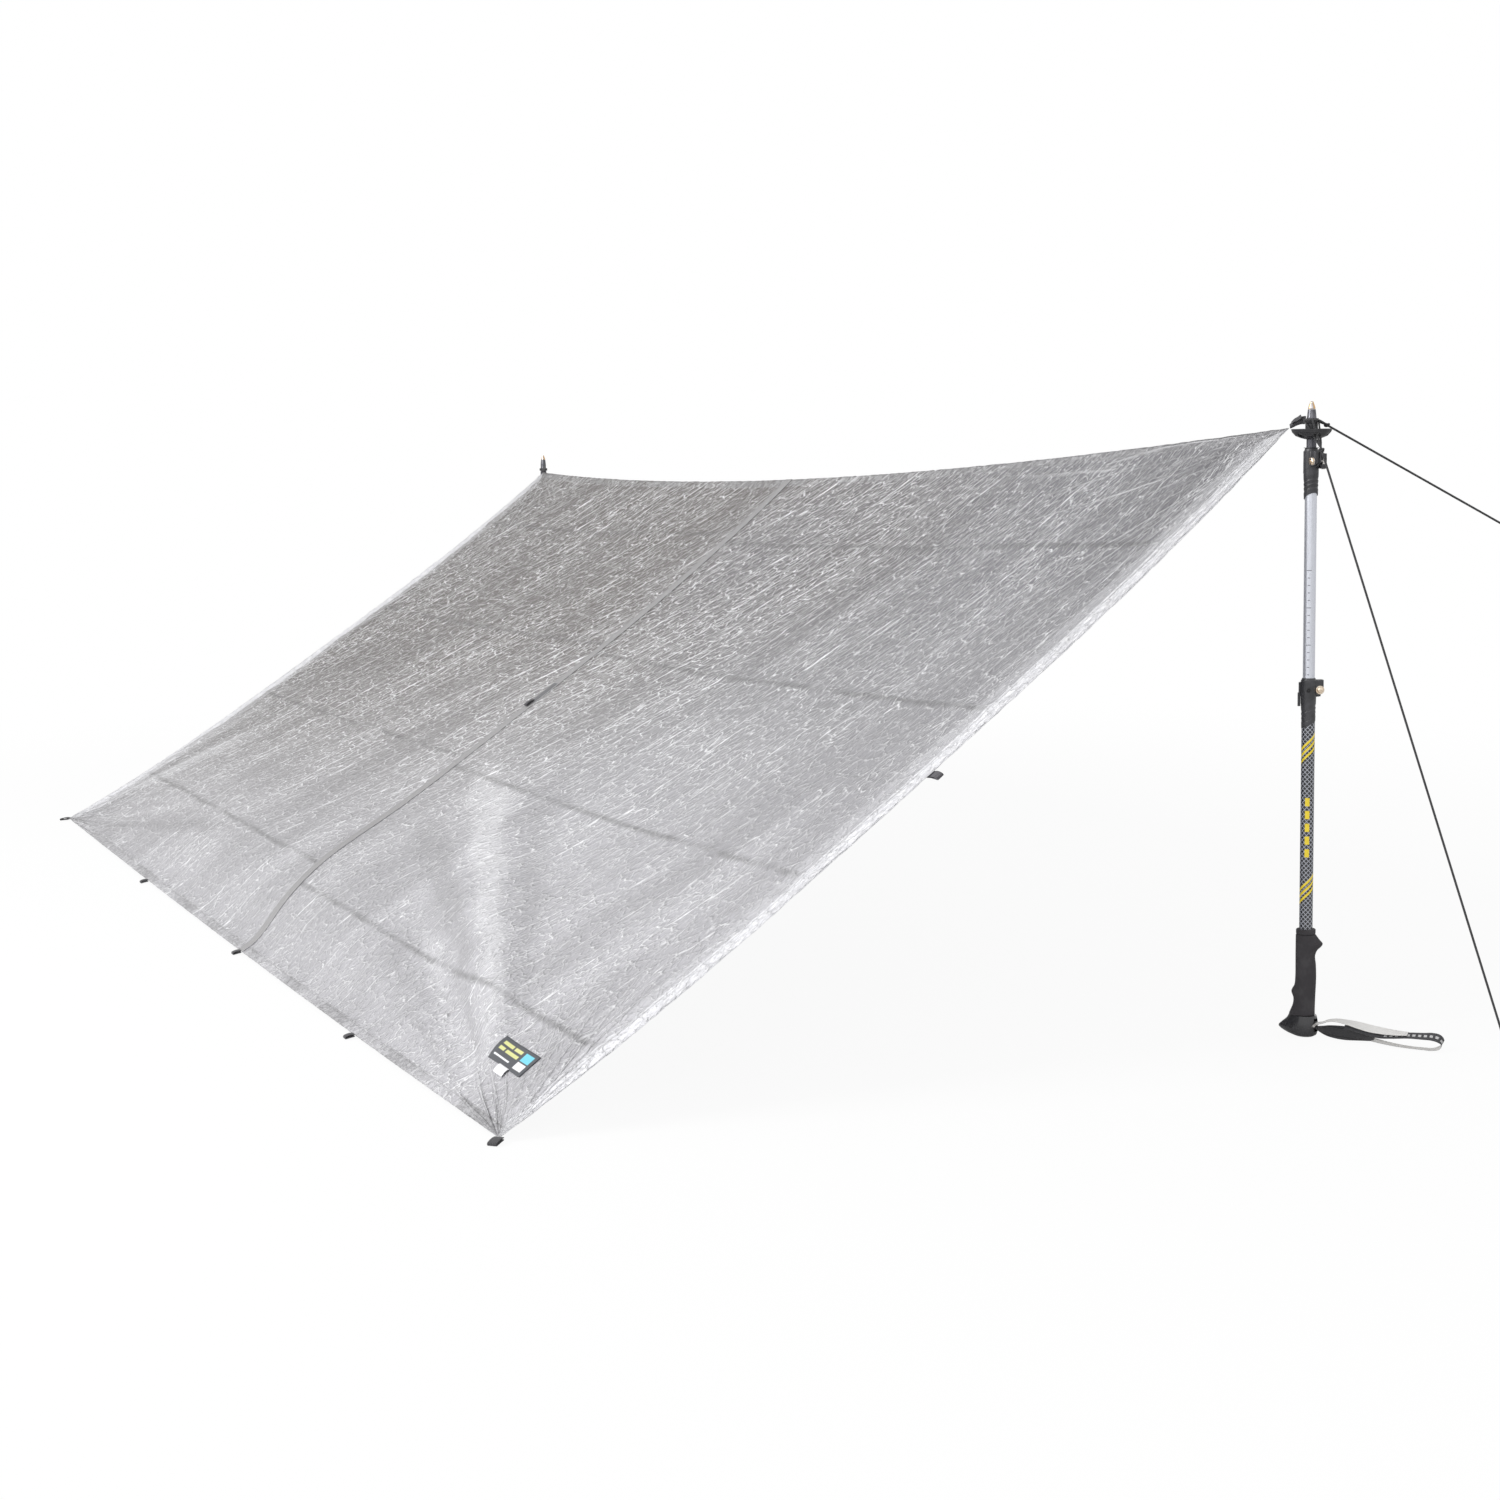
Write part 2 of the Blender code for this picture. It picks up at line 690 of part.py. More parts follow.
def make_strap(side, matrix, material):
    """The wrist strap: one band round its pin that droops to the ground, turns and comes back."""
    near = strap_pin_diameter / 2 + touch_gap
    far = strap_end_height / 2
    far_x = strap_length - far
    far_z = far + strap_band_thickness
    steps = 12
    lower = []
    upper = []
    for i in range(1, steps):
        share = i / steps
        fall = (1 - share) ** 2.4
        drop = strap_pin_height - near - strap_band_thickness
        lower.append((share * far_x, strap_band_thickness + drop * fall))
        slope = 0.5 + 0.5 * math.cos(math.pi * share)
        upper.append((share * far_x, far_z + far + (strap_pin_height + near - far_z - far) * slope))
    inner = lower + arc((far_x, far_z), far, -90, 90, 7) + upper[::-1]
    inner += arc((0.0, strap_pin_height), near, 90, 270, 7)
    outer = grown(inner, strap_band_thickness)
    half = strap_band_width / 2
    rings = [[(x, -half, z) for x, z in outer], [(x, half, z) for x, z in outer],
             [(x, half, z) for x, z in inner], [(x, -half, z) for x, z in inner]]
    spot = matrix @ Matrix.Translation((strap_pin_offset, 0.0, 0.0))
    add_object(side + "_wrist_strap", loft(rings, closed=True), material, spot)


def make_clamp(name, matrix, bore_low, bore_high, materials, flange):
    """A band clamp: its sleeve sits on the lower tube's end and its slotted band grips the upper tube."""
    outer = clamp_outer_radius
    sleeve_bore = bore_low / 2 + slide_clearance
    band_bore = bore_high / 2 + slide_clearance
    rib = clamp_rib_height
    profile = [(sleeve_bore, 0.0), (outer - rib, 0.0)]
    for i in range(clamp_rib_count):
        z = clamp_sleeve_height * (0.22 + 0.20 * i)
        profile += [(outer - rib, z), (outer, z + clamp_rib_rise)]
    sleeve_top = clamp_sleeve_height + clamp_join
    profile += [(outer - rib, clamp_sleeve_height * 0.86), (outer, clamp_sleeve_height * 0.90),
                (outer, sleeve_top), (sleeve_bore, sleeve_top)]
    rings = []
    for r, z in profile:
        lean = clamp_slant / outer * (1 - z / sleeve_top)
        rings.append([(x, y, height + lean * x) for x, y, height in circle(r, z, sleeve_sides)])
    sleeve = add_object(name + "_sleeve_guide", loft(rings, closed=True), materials["clamp"], matrix)
    half_slot = clamp_slot / 2
    ear_root = math.degrees(math.asin(clamp_ear_half / outer))
    ear_end = clamp_ear_reach - clamp_ear_round
    round_end = clamp_ear_round * 0.7
    outline = [(clamp_ear_reach, half_slot), (clamp_ear_reach, clamp_ear_half - clamp_ear_round),
               (ear_end + round_end, clamp_ear_half - clamp_ear_round + round_end), (ear_end, clamp_ear_half)]
    outline += arc((0, 0), outer, ear_root, 360 - ear_root, band_points)
    outline += [(x, -y) for x, y in reversed(outline[:4])]
    slot_angle = math.degrees(math.asin(half_slot / band_bore))
    outline += arc((0, 0), band_bore, 360 - slot_angle, slot_angle, band_points)
    band = add_object(name, prism(outline, clamp_sleeve_height, clamp_height), materials["clamp"], matrix)
    combine(band, sleeve, "UNION")
    if flange:
        edge = clamp_outer_radius - clamp_flange_step
        flange_low = clamp_height - clamp_join
        flange_high = clamp_height + clamp_flange_height
        profile = [(band_bore, flange_low), (edge, flange_low), (edge, flange_high), (band_bore, flange_high)]
        flange_ring = turned(profile, tube_sides, True)
        top = add_object(name + "_flange_guide", flange_ring, materials["clamp"], matrix)
        combine(band, top, "UNION")
    hole_radius = clamp_screw_diameter / 2 + slide_clearance
    hole = across_pin(hole_radius, clamp_ear_half * 2 + cut_margin)
    spot = matrix @ Matrix.Translation((clamp_screw_reach, 0.0, screw_height()))
    combine(band, add_object(name + "_hole_guide", hole, materials["clamp"], spot), "DIFFERENCE")
    return band


def screw_height():
    return clamp_sleeve_height + clamp_band_height / 2


def make_screw(name, matrix, material):
    """The tension screw with its nut; it reaches from the nut through both ears to the lever's pin."""
    shank = clamp_screw_diameter / 2
    start = -clamp_ear_half - touch_gap
    end = lever_hub_y - lever_pin_diameter / 2 - touch_gap
    nut = clamp_nut_diameter / 2
    nut_end = start - clamp_nut_height
    profile = [(nut * 0.86, nut_end), (nut, nut_end + clamp_nut_edge), (nut, start)]
    profile += [(shank, start), (shank, end)]
    rings = []
    for r, y in profile:
        rings.append([(r * math.cos(math.pi * i / 6), y, r * math.sin(math.pi * i / 6)) for i in range(12)])
    spot = matrix @ Matrix.Translation((clamp_screw_reach, 0.0, screw_height()))
    return add_object(name, loft(rings), material, spot)


def lever_window():
    """What the screw sweeps through in the lever's hub while the lever opens by its travel."""
    far = lever_hub_radius + cut_margin
    half = clamp_screw_diameter / 2 + slide_clearance
    turn = math.radians(lever_travel - 90)
    away = Vector((math.cos(turn), math.sin(turn)))
    side = Vector((-away.y, away.x)) * half
    return [(-far, -far), (far, -far), tuple(away * far + side), tuple(side), (-far, 0.0)]


def make_lever(name, matrix, material, drop):
    """The clamp lever: a cam hub round its pin, and a curved arm round the back of the band."""
    inner = clamp_outer_radius + lever_body_gap
    outer = inner + lever_thickness
    hub = (0.0, 0.0)
    centre = (-lever_hub_x, -lever_hub_y)
    outline = arc(centre, inner, lever_start_angle, lever_end_angle, 16)
    outline += arc(centre, outer, lever_end_angle, lever_start_angle + 12, 16)
    outline += arc(hub, lever_hub_radius, 95, -165, 16)
    low = screw_height() - lever_height / 2
    spot = matrix @ Matrix.Translation((lever_hub_x, lever_hub_y, 0.0))
    lever = add_object(name, prism(outline, low, low + lever_height), material, spot)
    if drop:
        tab_angle = lever_end_angle - lever_tab_turn
        tab = arc(centre, inner, tab_angle, lever_end_angle, 6)
        tab += arc(centre, outer + lever_tab_step, lever_end_angle, tab_angle, 6)
        foot = add_object(name + "_tab_guide", prism(tab, low - drop, low + lever_tab_join), material, spot)
        combine(lever, foot, "UNION")
    high = low + lever_height
    pin_hole = lever_pin_diameter / 2 + slide_clearance
    hole = turned([(pin_hole, low - cut_margin), (pin_hole, high + cut_margin)], small_sides, False)
    combine(lever, add_object(name + "_pin_guide", hole, material, spot), "DIFFERENCE")
    middle = screw_height()
    cutter = prism(lever_window(), middle - lever_window_height / 2, middle + lever_window_height / 2)
    combine(lever, add_object(name + "_window_guide", cutter, material, spot), "DIFFERENCE")
    pin_name = name.replace("_lever", "_lever_pin")
    pin_radius = lever_pin_diameter / 2
    pin_ends = [(pin_radius, low - lever_pin_show), (pin_radius, high + lever_pin_show)]
    add_object(pin_name, turned(pin_ends, small_sides, False), material, spot)


def make_tip(side, matrix, top, low, materials, ferrule_base):
    """Tip section with its ferrule and thread, and the metal cap on its end."""
    radius = tip_section_diameter / 2
    ferrule_end = top - tip_cap_height
    shoulder = ferrule_end - ferrule_taper
    neck = radius - ferrule_step
    thread = thread_diameter / 2
    thread_end = ferrule_base + thread_height
    profile = [(radius, low), (radius, ferrule_base), (thread, ferrule_base + thread_edge),
               (thread, thread_end), (neck, thread_end + thread_edge), (neck, shoulder),
               (ferrule_top_diameter / 2, ferrule_end)]
    bm = turned(profile, tube_sides, False)
    add_object(side + "_tip_section", bm, materials["dark"], matrix)
    cap = tip_cap_diameter / 2
    start = ferrule_end + touch_gap
    point = tip_point_diameter / 2
    rise = top - start
    profile = [(cap, start), (cap * 0.96, start + rise * 0.20), (cap * 0.76, start + rise * 0.52),
               (cap * 0.52, start + rise * 0.80), (cap * 0.42, start + rise * 0.94), (point * 0.8, top)]
    add_object(side + "_carbide_tip", turned(profile, small_sides, False), materials["cap"], matrix)


def make_basket(matrix, base, material):
    bore = thread_diameter / 2 + slide_clearance
    hub = basket_hub_diameter / 2
    rim = basket_diameter / 2
    wall = basket_wall
    top = base + basket_hub_height
    rise = basket_rise
    edge = basket_hub_edge
    profile = [(bore, base), (hub, base), (rim * 0.52, base + rise * 0.12), (rim * 0.78, base + rise * 0.34),
               (rim * 0.95, base + rise - basket_rim_height), (rim, base + rise),
               (rim - wall * 0.4, base + rise + wall * 0.4), (rim - wall, base + rise),
               (rim * 0.76, base + rise * 0.40 + wall),
               (hub, base + rise * 0.16 + wall), (hub, top - edge), (hub - edge, top), (bore, top)]
    basket = add_object("right_basket", turned(profile, basket_sides, True), material, matrix)
    half_wide = basket_slot_width / 2
    near = hub + basket_web + half_wide
    far = rim - basket_rim - half_wide
    for i in range(basket_slot_count):
        bearing = basket_slot_bearing + 360 / basket_slot_count * i
        outline = arc((near, 0), half_wide, 90, 270, 8) + arc((far, 0), half_wide, -90, 90, 8)
        slot = prism(outline, base - cut_margin, base + rise + cut_margin)
        spot = matrix @ Matrix.Rotation(math.radians(bearing), 4, "Z")
        combine(basket, add_object(f"right_basket_slot_guide_{i + 1}", slot, material, spot), "DIFFERENCE")


def make_corner_ring(name, pole_x, height, bearing, target, pole_radius, material):
    """The corner loop that drops over the pole: a ring of webbing and the strap from it to the sheet."""
    bore = pole_radius + corner_ring_clearance
    outer = bore + corner_ring_wall
    top = height + corner_ring_height
    profile = [(bore, height), (outer, height), (outer, top), (bore, top)]
    matrix = place((0, 0, 0), bearing, (pole_x, 0, 0))
    ring = add_object(name, turned(profile, tube_sides, True), material, matrix)
    start = bore + corner_ring_wall * 0.5
    end = corner_reach - corner_strap_gap
    half = corner_strap_width / 2
    thick = webbing_thickness
    bend = basket_diameter / 2
    levels = [(start, height + corner_ring_height * 0.55),
              (bend - corner_strap_bend, max(target + corner_strap_hump, height - corner_ring_wall)),
              (bend, target + corner_strap_hump / 2), (end, target + corner_strap_seat)]
    rings = [[(x, -half, z - thick), (x, half, z - thick), (x, half, z + thick), (x, -half, z + thick)]
             for x, z in levels]
    combine(ring, add_object(name + "_strap_guide", loft(rings), material, matrix), "UNION")


def make_pole(side, pole_x, height, materials):
    stand = place((0, 0, 0), strap_bearing, (pole_x, 0, 0))
    short = right_pole_height - height
    make_grip(side, stand, materials)
    make_strap(side, stand, materials["strap"])
    tip_clamp_low = height - ferrule_height - tip_cap_height - tip_section_show - clamp_height
    handle_clamp_low = tip_clamp_low - (middle_tube_show - short) - clamp_height
    shaft_end = handle_clamp_low + tube_seat_depth
    shaft = handle_shaft_diameter / 2
    bore = middle_tube_diameter / 2 + slide_clearance
    upright = place((0, 0, 0), 0.0, (pole_x, 0, 0))
    profile = [(shaft, handle_shaft_foot), (shaft, shaft_end), (bore, shaft_end), (bore, handle_shaft_foot)]
    add_object(side + "_handle_shaft", turned(profile, tube_sides, True), materials["woven"], upright)
    handle_clamp = place((0, 0, handle_clamp_low), handle_clamp_bearing, (pole_x, 0, 0))
    make_clamp(side + "_handle_clamp", handle_clamp, handle_shaft_diameter, middle_tube_diameter, materials,
               False)
    make_lever(side + "_handle_lever", handle_clamp, materials["clamp"], lever_tab_drop)
    make_screw(side + "_handle_screw", handle_clamp, materials["steel"])
    middle = middle_tube_diameter / 2
    inner = tip_section_diameter / 2 + slide_clearance
    tube_low = handle_clamp_low + clamp_height - middle_tube_insert
    tube_high = tip_clamp_low + tube_seat_depth
    profile = [(middle, tube_low), (middle, tube_high), (inner, tube_high), (inner, tube_low)]
    add_object(side + "_middle_tube", turned(profile, tube_sides, True), materials["bare"], upright)
    tip_clamp = place((0, 0, tip_clamp_low), tip_clamp_bearing, (pole_x, 0, 0))
    make_clamp(side + "_tip_clamp", tip_clamp, middle_tube_diameter, tip_section_diameter, materials, True)
    make_lever(side + "_tip_lever", tip_clamp, materials["clamp"], 0.0)
    make_screw(side + "_tip_screw", tip_clamp, materials["steel"])
    base = tip_clamp_low + clamp_height + tip_section_show
    make_tip(side, upright, height, tip_clamp_low + clamp_height - tip_section_insert, materials, base)
    return base


def guy_route(start_reach, start_height, start_bearing, bearing, reach, end_height):
    """A smooth path: straight out of the ring, round the knee and then straight down to the end."""
    out = Vector((math.cos(math.radians(start_bearing)), math.sin(math.radians(start_bearing)), 0.0))
    away = Vector((math.cos(math.radians(bearing)), math.sin(math.radians(bearing)), 0.0))
    start = out * start_reach + Vector((0, 0, start_height))
    leave = start + out * guy_lead
    knee = start + out * guy_knee_reach - Vector((0, 0, guy_knee_drop))
    end = away * reach + Vector((0, 0, end_height))
    bend = knee + (end - knee).normalized() * guy_bend
    points = [start]
    for i in range(guy_bend_steps):
        t = i / guy_bend_steps
        points.append(leave.lerp(knee, t).lerp(knee.lerp(bend, t), t))
    for i in range(guy_steps + 1):
        points.append(bend.lerp(end, i / guy_steps))
    return points


def make_cord(name, points, material):
    curve = bpy.data.curves.new(name, "CURVE")
    curve.dimensions = "3D"
    curve.bevel_depth = guy_diameter / 2
    curve.bevel_resolution = 2
    curve.use_fill_caps = True
    spline = curve.splines.new("POLY")
    spline.points.add(len(points) - 1)
    for target, point in zip(spline.points, points):
        target.co = (*point, 1.0)
    curve.materials.append(material)
    cord = bpy.data.objects.new(name, curve)
    bpy.context.scene.collection.objects.link(cord)
    return cord


def make_guy_loop(name, end, direction, material):
    """The loop tied in a guy line's end: a flat ring that lies along the line."""
    outline = []
    inline = []
    for i in range(16):
        a = 2 * math.pi * i / 16
        long = guy_loop_length / 2
        wide = guy_loop_width / 2
        outline.append((long + long * math.cos(a), wide * math.sin(a)))
        inline.append((long + (long - guy_diameter) * math.cos(a), (wide - guy_diameter) * math.sin(a)))
    half = guy_diameter / 2
    rings = [[(x, y, -half) for x, y in outline], [(x, y, half) for x, y in outline],
             [(x, y, half) for x, y in inline], [(x, y, -half) for x, y in inline]]
    matrix = frame_on(end + direction * touch_gap, direction, Vector((0, 0, 1)))
    add_object(name, loft(rings, closed=True), material, matrix)


def make_guys(hub_top, material):
    ring_out = tip_section_diameter / 2 + corner_ring_clearance + corner_ring_wall + touch_gap
    start_height = hub_top + touch_gap + corner_ring_height / 2
    right_points = guy_route(ring_out, start_height, guy_right_start, guy_right_bearing, guy_right_reach,
                             guy_right_end_height)
    front_points = guy_route(ring_out, start_height, guy_front_start, guy_front_bearing, guy_front_reach,
                             guy_front_end_height)
    for name, points in (("right_guy_line", right_points), ("front_guy_line", front_points)):
        make_cord(name, points, material)
        make_guy_loop(name + "_end_loop", points[-1], (points[-1] - points[-2]).normalized(), material)


def main():
    for thing in list(bpy.data.objects):
        bpy.data.objects.remove(thing)
    cloth = make_material("sheet_cloth", (0.42, 0.41, 0.42), 0.55)
    tape = make_material("seam_tape", (0.20, 0.20, 0.205), 0.45)
    webbing = make_material("webbing", (0.03, 0.03, 0.035), 0.8)
    label = make_material("label_cloth", (0.07, 0.07, 0.075), 0.6)
    tag = make_material("tag_cloth", (0.75, 0.75, 0.75), 0.7)
    trim = make_material("patch_cloth", (0.12, 0.12, 0.125), 0.6)
    cord = make_material("guy_cord", (0.02, 0.02, 0.022), 0.7)
    make_sheet(cloth, tape, webbing, label, tag, trim)
    materials = pole_materials()
    right_base = make_pole("right", 0.0, right_pole_height, materials)
    left_base = make_pole("left", -pole_distance, left_pole_height, materials)
    upright = place((0, 0, 0), 0.0)
    make_basket(upright, right_base, materials["clamp"])
    hub_top = right_base + basket_hub_height
    tip_radius = tip_section_diameter / 2
    make_corner_ring("back_right_corner_loop", 0.0, hub_top + touch_gap, right_corner_bearing,
                     right_corner_height, tip_radius, webbing)
    thread_top = left_base + thread_height + thread_edge
    make_corner_ring("back_left_corner_loop", -pole_distance, thread_top + touch_gap, left_corner_bearing,
                     left_corner_height, tip_radius, webbing)
    make_guys(hub_top, cord)


main()
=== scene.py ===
# Camping tarp pitched on two trekking poles: the finish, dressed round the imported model
import math
from functools import reduce

import bmesh
import bpy
import numpy as np
from mathutils import Matrix, Vector


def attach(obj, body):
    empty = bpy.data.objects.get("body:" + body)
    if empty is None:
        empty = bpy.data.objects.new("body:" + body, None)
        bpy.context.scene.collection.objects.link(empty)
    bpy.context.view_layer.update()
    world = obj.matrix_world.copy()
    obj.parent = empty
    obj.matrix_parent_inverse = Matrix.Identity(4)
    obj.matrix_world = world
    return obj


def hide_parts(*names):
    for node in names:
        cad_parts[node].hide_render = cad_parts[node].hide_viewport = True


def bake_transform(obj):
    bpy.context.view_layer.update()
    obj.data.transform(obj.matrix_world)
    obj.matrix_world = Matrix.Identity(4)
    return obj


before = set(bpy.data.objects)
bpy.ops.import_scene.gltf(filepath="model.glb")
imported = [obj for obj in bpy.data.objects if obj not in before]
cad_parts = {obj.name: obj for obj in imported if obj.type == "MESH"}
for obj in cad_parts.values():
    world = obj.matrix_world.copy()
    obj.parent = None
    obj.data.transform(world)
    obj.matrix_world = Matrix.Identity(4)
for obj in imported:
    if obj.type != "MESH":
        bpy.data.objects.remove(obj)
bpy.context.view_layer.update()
print("frame loaded:", len(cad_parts), "nodes")


# camera, matched to the sheet's corners, the loops and the pole tips
camera = {
    "imageSize": 1500, "focalPixels": 2573.1, "sensorWidth": 36.0, "place": (2.8459, -2.0854, 0.8452),
    "rightBearing": 66.1, "pitch": 7.258, "roll": -0.919,
}


def axesAt(place, x, y, z):
    return Matrix.Translation(place) @ Matrix((x, y, z)).transposed().to_4x4()


def makeCamera():
    bearing, pitch, roll = (math.radians(camera[name]) for name in ("rightBearing", "pitch", "roll"))
    level = Vector((math.cos(bearing), math.sin(bearing), 0.0))
    forward = Vector((-level.y, level.x, 0.0))
    ahead = forward * math.cos(pitch) - Vector((0, 0, 1)) * math.sin(pitch)
    upright = level.cross(ahead)
    right = level * math.cos(roll) + upright * math.sin(roll)
    up = right.cross(ahead)
    data = bpy.data.cameras.new("photoCamera")
    data.sensor_width = camera["sensorWidth"]
    data.lens = camera["focalPixels"] * camera["sensorWidth"] / camera["imageSize"]
    data.clip_start, data.clip_end = 0.05, 200.0
    body = bpy.data.objects.new("photoCamera", data)
    body.matrix_world = axesAt(camera["place"], right, up, -ahead)
    bpy.context.scene.collection.objects.link(body)
    bpy.context.scene.camera = body


makeCamera()
print("camera in place")


# small helpers for meshes
def addMarks(mesh, marks):
    for name, values in (marks or {}).items():
        layer = mesh.attributes.new(name, "FLOAT_VECTOR", "POINT")
        layer.data.foreach_set("vector", values.astype(np.float32).ravel())


def linkMesh(name, mesh, material, smoothAngle=40.0, matrix=None):
    mesh.name = name
    if matrix is not None:
        mesh.transform(matrix)
    mesh.materials.append(material)
    mesh.shade_smooth()
    if smoothAngle:
        mesh.set_sharp_from_angle(angle=math.radians(smoothAngle))
    piece = bpy.data.objects.new(name, mesh)
    bpy.context.scene.collection.objects.link(piece)
    return piece


def standFor(piece, node, body="root"):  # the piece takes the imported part's place and moves with it
    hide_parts(node)
    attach(piece, body)
    return piece


def gridMesh(points, marks):  # points: rows x columns x 3; marks: name -> rows x columns x 3
    rows, columns = points.shape[:2]
    index = np.arange(rows * columns).reshape(rows, columns)
    faces = np.stack([index[:-1, :-1], index[:-1, 1:], index[1:, 1:], index[1:, :-1]], axis=-1).reshape(-1, 4)
    mesh = bpy.data.meshes.new("grid")
    mesh.from_pydata(points.reshape(-1, 3).tolist(), [], faces.tolist())
    addMarks(mesh, marks)
    return mesh


def ringMesh(rings, marks=None, closed=False):  # rings: rows x sides x 3; closed: the last row joins the first
    rows, sides = rings.shape[:2]
    index = np.arange(rows * sides).reshape(rows, sides)
    if closed:
        index = np.concatenate([index, index[:1]])
    beside = np.roll(index, -1, axis=1)
    faces = np.stack([index[:-1], beside[:-1], beside[1:], index[1:]], axis=-1).reshape(-1, 4).tolist()
    if not closed:
        faces += [index[0][::-1].tolist(), index[-1].tolist()]
    mesh = bpy.data.meshes.new("rings")
    mesh.from_pydata(rings.reshape(-1, 3).tolist(), [], faces)
    addMarks(mesh, marks)
    turned = bmesh.new()
    turned.from_mesh(mesh)
    bmesh.ops.recalc_face_normals(turned, faces=turned.faces[:])
    turned.to_mesh(mesh)
    turned.free()
    return mesh


def pack(x, y, z):  # arrays or numbers to rows of points
    return np.stack(np.broadcast_arrays(x, y, z), axis=-1).astype(float)


def turnsOf(sides):
    return np.arange(sides) * 2 * math.pi / sides


def turnedRings(profile, sides):  # profile: radius and height
    radii, heights = np.array(profile, float).T[..., None]
    turns = turnsOf(sides)
    return pack(radii * np.cos(turns), radii * np.sin(turns), heights)


def towards(degrees):
    turned = math.radians(degrees)
    return Vector((math.cos(turned), math.sin(turned), 0.0))


def lengthsAlong(path):
    return np.concatenate([[0], np.cumsum(np.linalg.norm(np.diff(path, axis=0), axis=1))])


def tangentsOf(path, closed):
    tangent = np.roll(path, -1, axis=0) - np.roll(path, 1, axis=0) if closed else np.gradient(path, axis=0)
    return tangent / np.linalg.norm(tangent, axis=1, keepdims=True)


def thicken(piece, thickness):
    body = piece.modifiers.new("thickness", "SOLIDIFY")
    body.thickness = thickness
    body.offset = -1.0


def softEdges(piece, width, limit=35.0, segments=3):
    edge = piece.modifiers.new("softEdge", "BEVEL")
    edge.width = width
    edge.segments = segments
    edge.limit_method = "ANGLE"
    edge.angle_limit = math.radians(limit)


def waves(x, y, seed):  # smooth value noise from -1 to 1, one bump per unit
    table = np.random.default_rng(seed).random((256, 256)) * 2 - 1
    left = np.floor(x).astype(int)
    low = np.floor(y).astype(int)
    a = x - left
    b = y - low
    a = a * a * (3 - 2 * a)
    b = b * b * (3 - 2 * b)
    left &= 255
    low &= 255
    right = (left + 1) & 255
    high = (low + 1) & 255
    near = table[left, low] * (1 - a) + table[right, low] * a
    far = table[left, high] * (1 - a) + table[right, high] * a
    return near * (1 - b) + far * b


# small helpers for materials: a value is a number, a colour or the socket that gives it
def addNode(tree, kind, **values):
    made = tree.nodes.new("ShaderNode" + kind)
    for key, value in values.items():
        setattr(made, key, value)
    return made


def wire(value, target):
    if hasattr(value, "id_data"):
        target.id_data.links.new(value, target)
    else:
        target.default_value = (*value, 1.0) if target.type == "RGBA" else value


def treeOf(*values):
    return next(value.id_data for value in values if hasattr(value, "id_data"))


def mathNode(operation, *values, clamp=False):
    made = addNode(treeOf(*values), "Math", operation=operation, use_clamp=clamp)
    for value, socket in zip(values, made.inputs):
        wire(value, socket)
    return made.outputs[0]


def inTurn(operation):  # a function that takes in one value after the other
    return lambda *values: reduce(lambda first, second: mathNode(operation, first, second), values)


def ofOne(operation):
    return lambda value: mathNode(operation, value)


times, plus, minus, over = inTurn("MULTIPLY"), inTurn("ADD"), inTurn("SUBTRACT"), inTurn("DIVIDE")
larger, smaller = inTurn("MAXIMUM"), inTurn("MINIMUM")
sizeOf, sineOf, partOf, whole = ofOne("ABSOLUTE"), ofOne("SINE"), ofOne("FRACT"), ofOne("FLOOR")


def vectorNode(operation, first, second):
    made = addNode(first.id_data, "VectorMath", operation=operation)
    wire(first, made.inputs[0])
    wire(second, made.inputs["Scale" if operation == "SCALE" else 1])
    return made.outputs[0]


def ramp(value, low, high, newLow=0.0, newHigh=1.0, smooth=True):
    made = addNode(value.id_data, "MapRange", interpolation_type="SMOOTHSTEP" if smooth else "LINEAR")
    for setting, socket in zip((value, low, high, newLow, newHigh), made.inputs):
        wire(setting, socket)
    return made.outputs["Result"]


def spot(value, middle, half, soft):  # 1 within half of the middle
    return ramp(sizeOf(minus(value, middle)), half - soft, half + soft, 1.0, 0.0)


def within(value, low, high, soft):
    return times(ramp(value, low - soft, low + soft), ramp(value, high - soft, high + soft, 1.0, 0.0))


def mix(share, first, second):
    made = addNode(treeOf(share, first, second), "Mix", data_type="RGBA")
    for value, number in ((share, 0), (first, 6), (second, 7)):
        wire(value, made.inputs[number])
    return made.outputs[2]


def parts(vector):
    made = addNode(vector.id_data, "SeparateXYZ")
    wire(vector, made.inputs[0])
    return list(made.outputs)


def joined(x, y):
    made = addNode(x.id_data, "CombineXYZ")
    wire(x, made.inputs["X"])
    wire(y, made.inputs["Y"])
    return made.outputs[0]


def noiseAt(place, scale, detail=2.0, rough=0.5, flat=False):
    made = addNode(place.id_data, "TexNoise", noise_dimensions="2D" if flat else "3D")
    for label, value in {"Vector": place, "Scale": scale, "Detail": detail, "Roughness": rough}.items():
        wire(value, made.inputs[label])
    return made.outputs


def placeMark(tree, name):
    return addNode(tree, "Attribute", attribute_name=name).outputs["Vector"]


def objectPlace(tree):
    return addNode(tree, "TexCoord").outputs["Object"]


def newGroup(name, inputs, outputs):  # inputs: a number is its default, and None is a place
    tree = bpy.data.node_groups.new(name, "ShaderNodeTree")
    for label, value in inputs.items():
        kind = "NodeSocketVector" if value is None else "NodeSocketFloat"
        made = tree.interface.new_socket(label, in_out="INPUT", socket_type=kind)
        if value is not None:
            made.default_value = value
    for label in outputs:
        tree.interface.new_socket(label, in_out="OUTPUT", socket_type="NodeSocketFloat")
    return tree, tree.nodes.new("NodeGroupInput").outputs, tree.nodes.new("NodeGroupOutput").inputs


def useGroup(group, **values):
    made = addNode(values["Place"].id_data, "Group", node_tree=group)
    for label, value in values.items():
        wire(value, made.inputs[label])
    return made.outputs


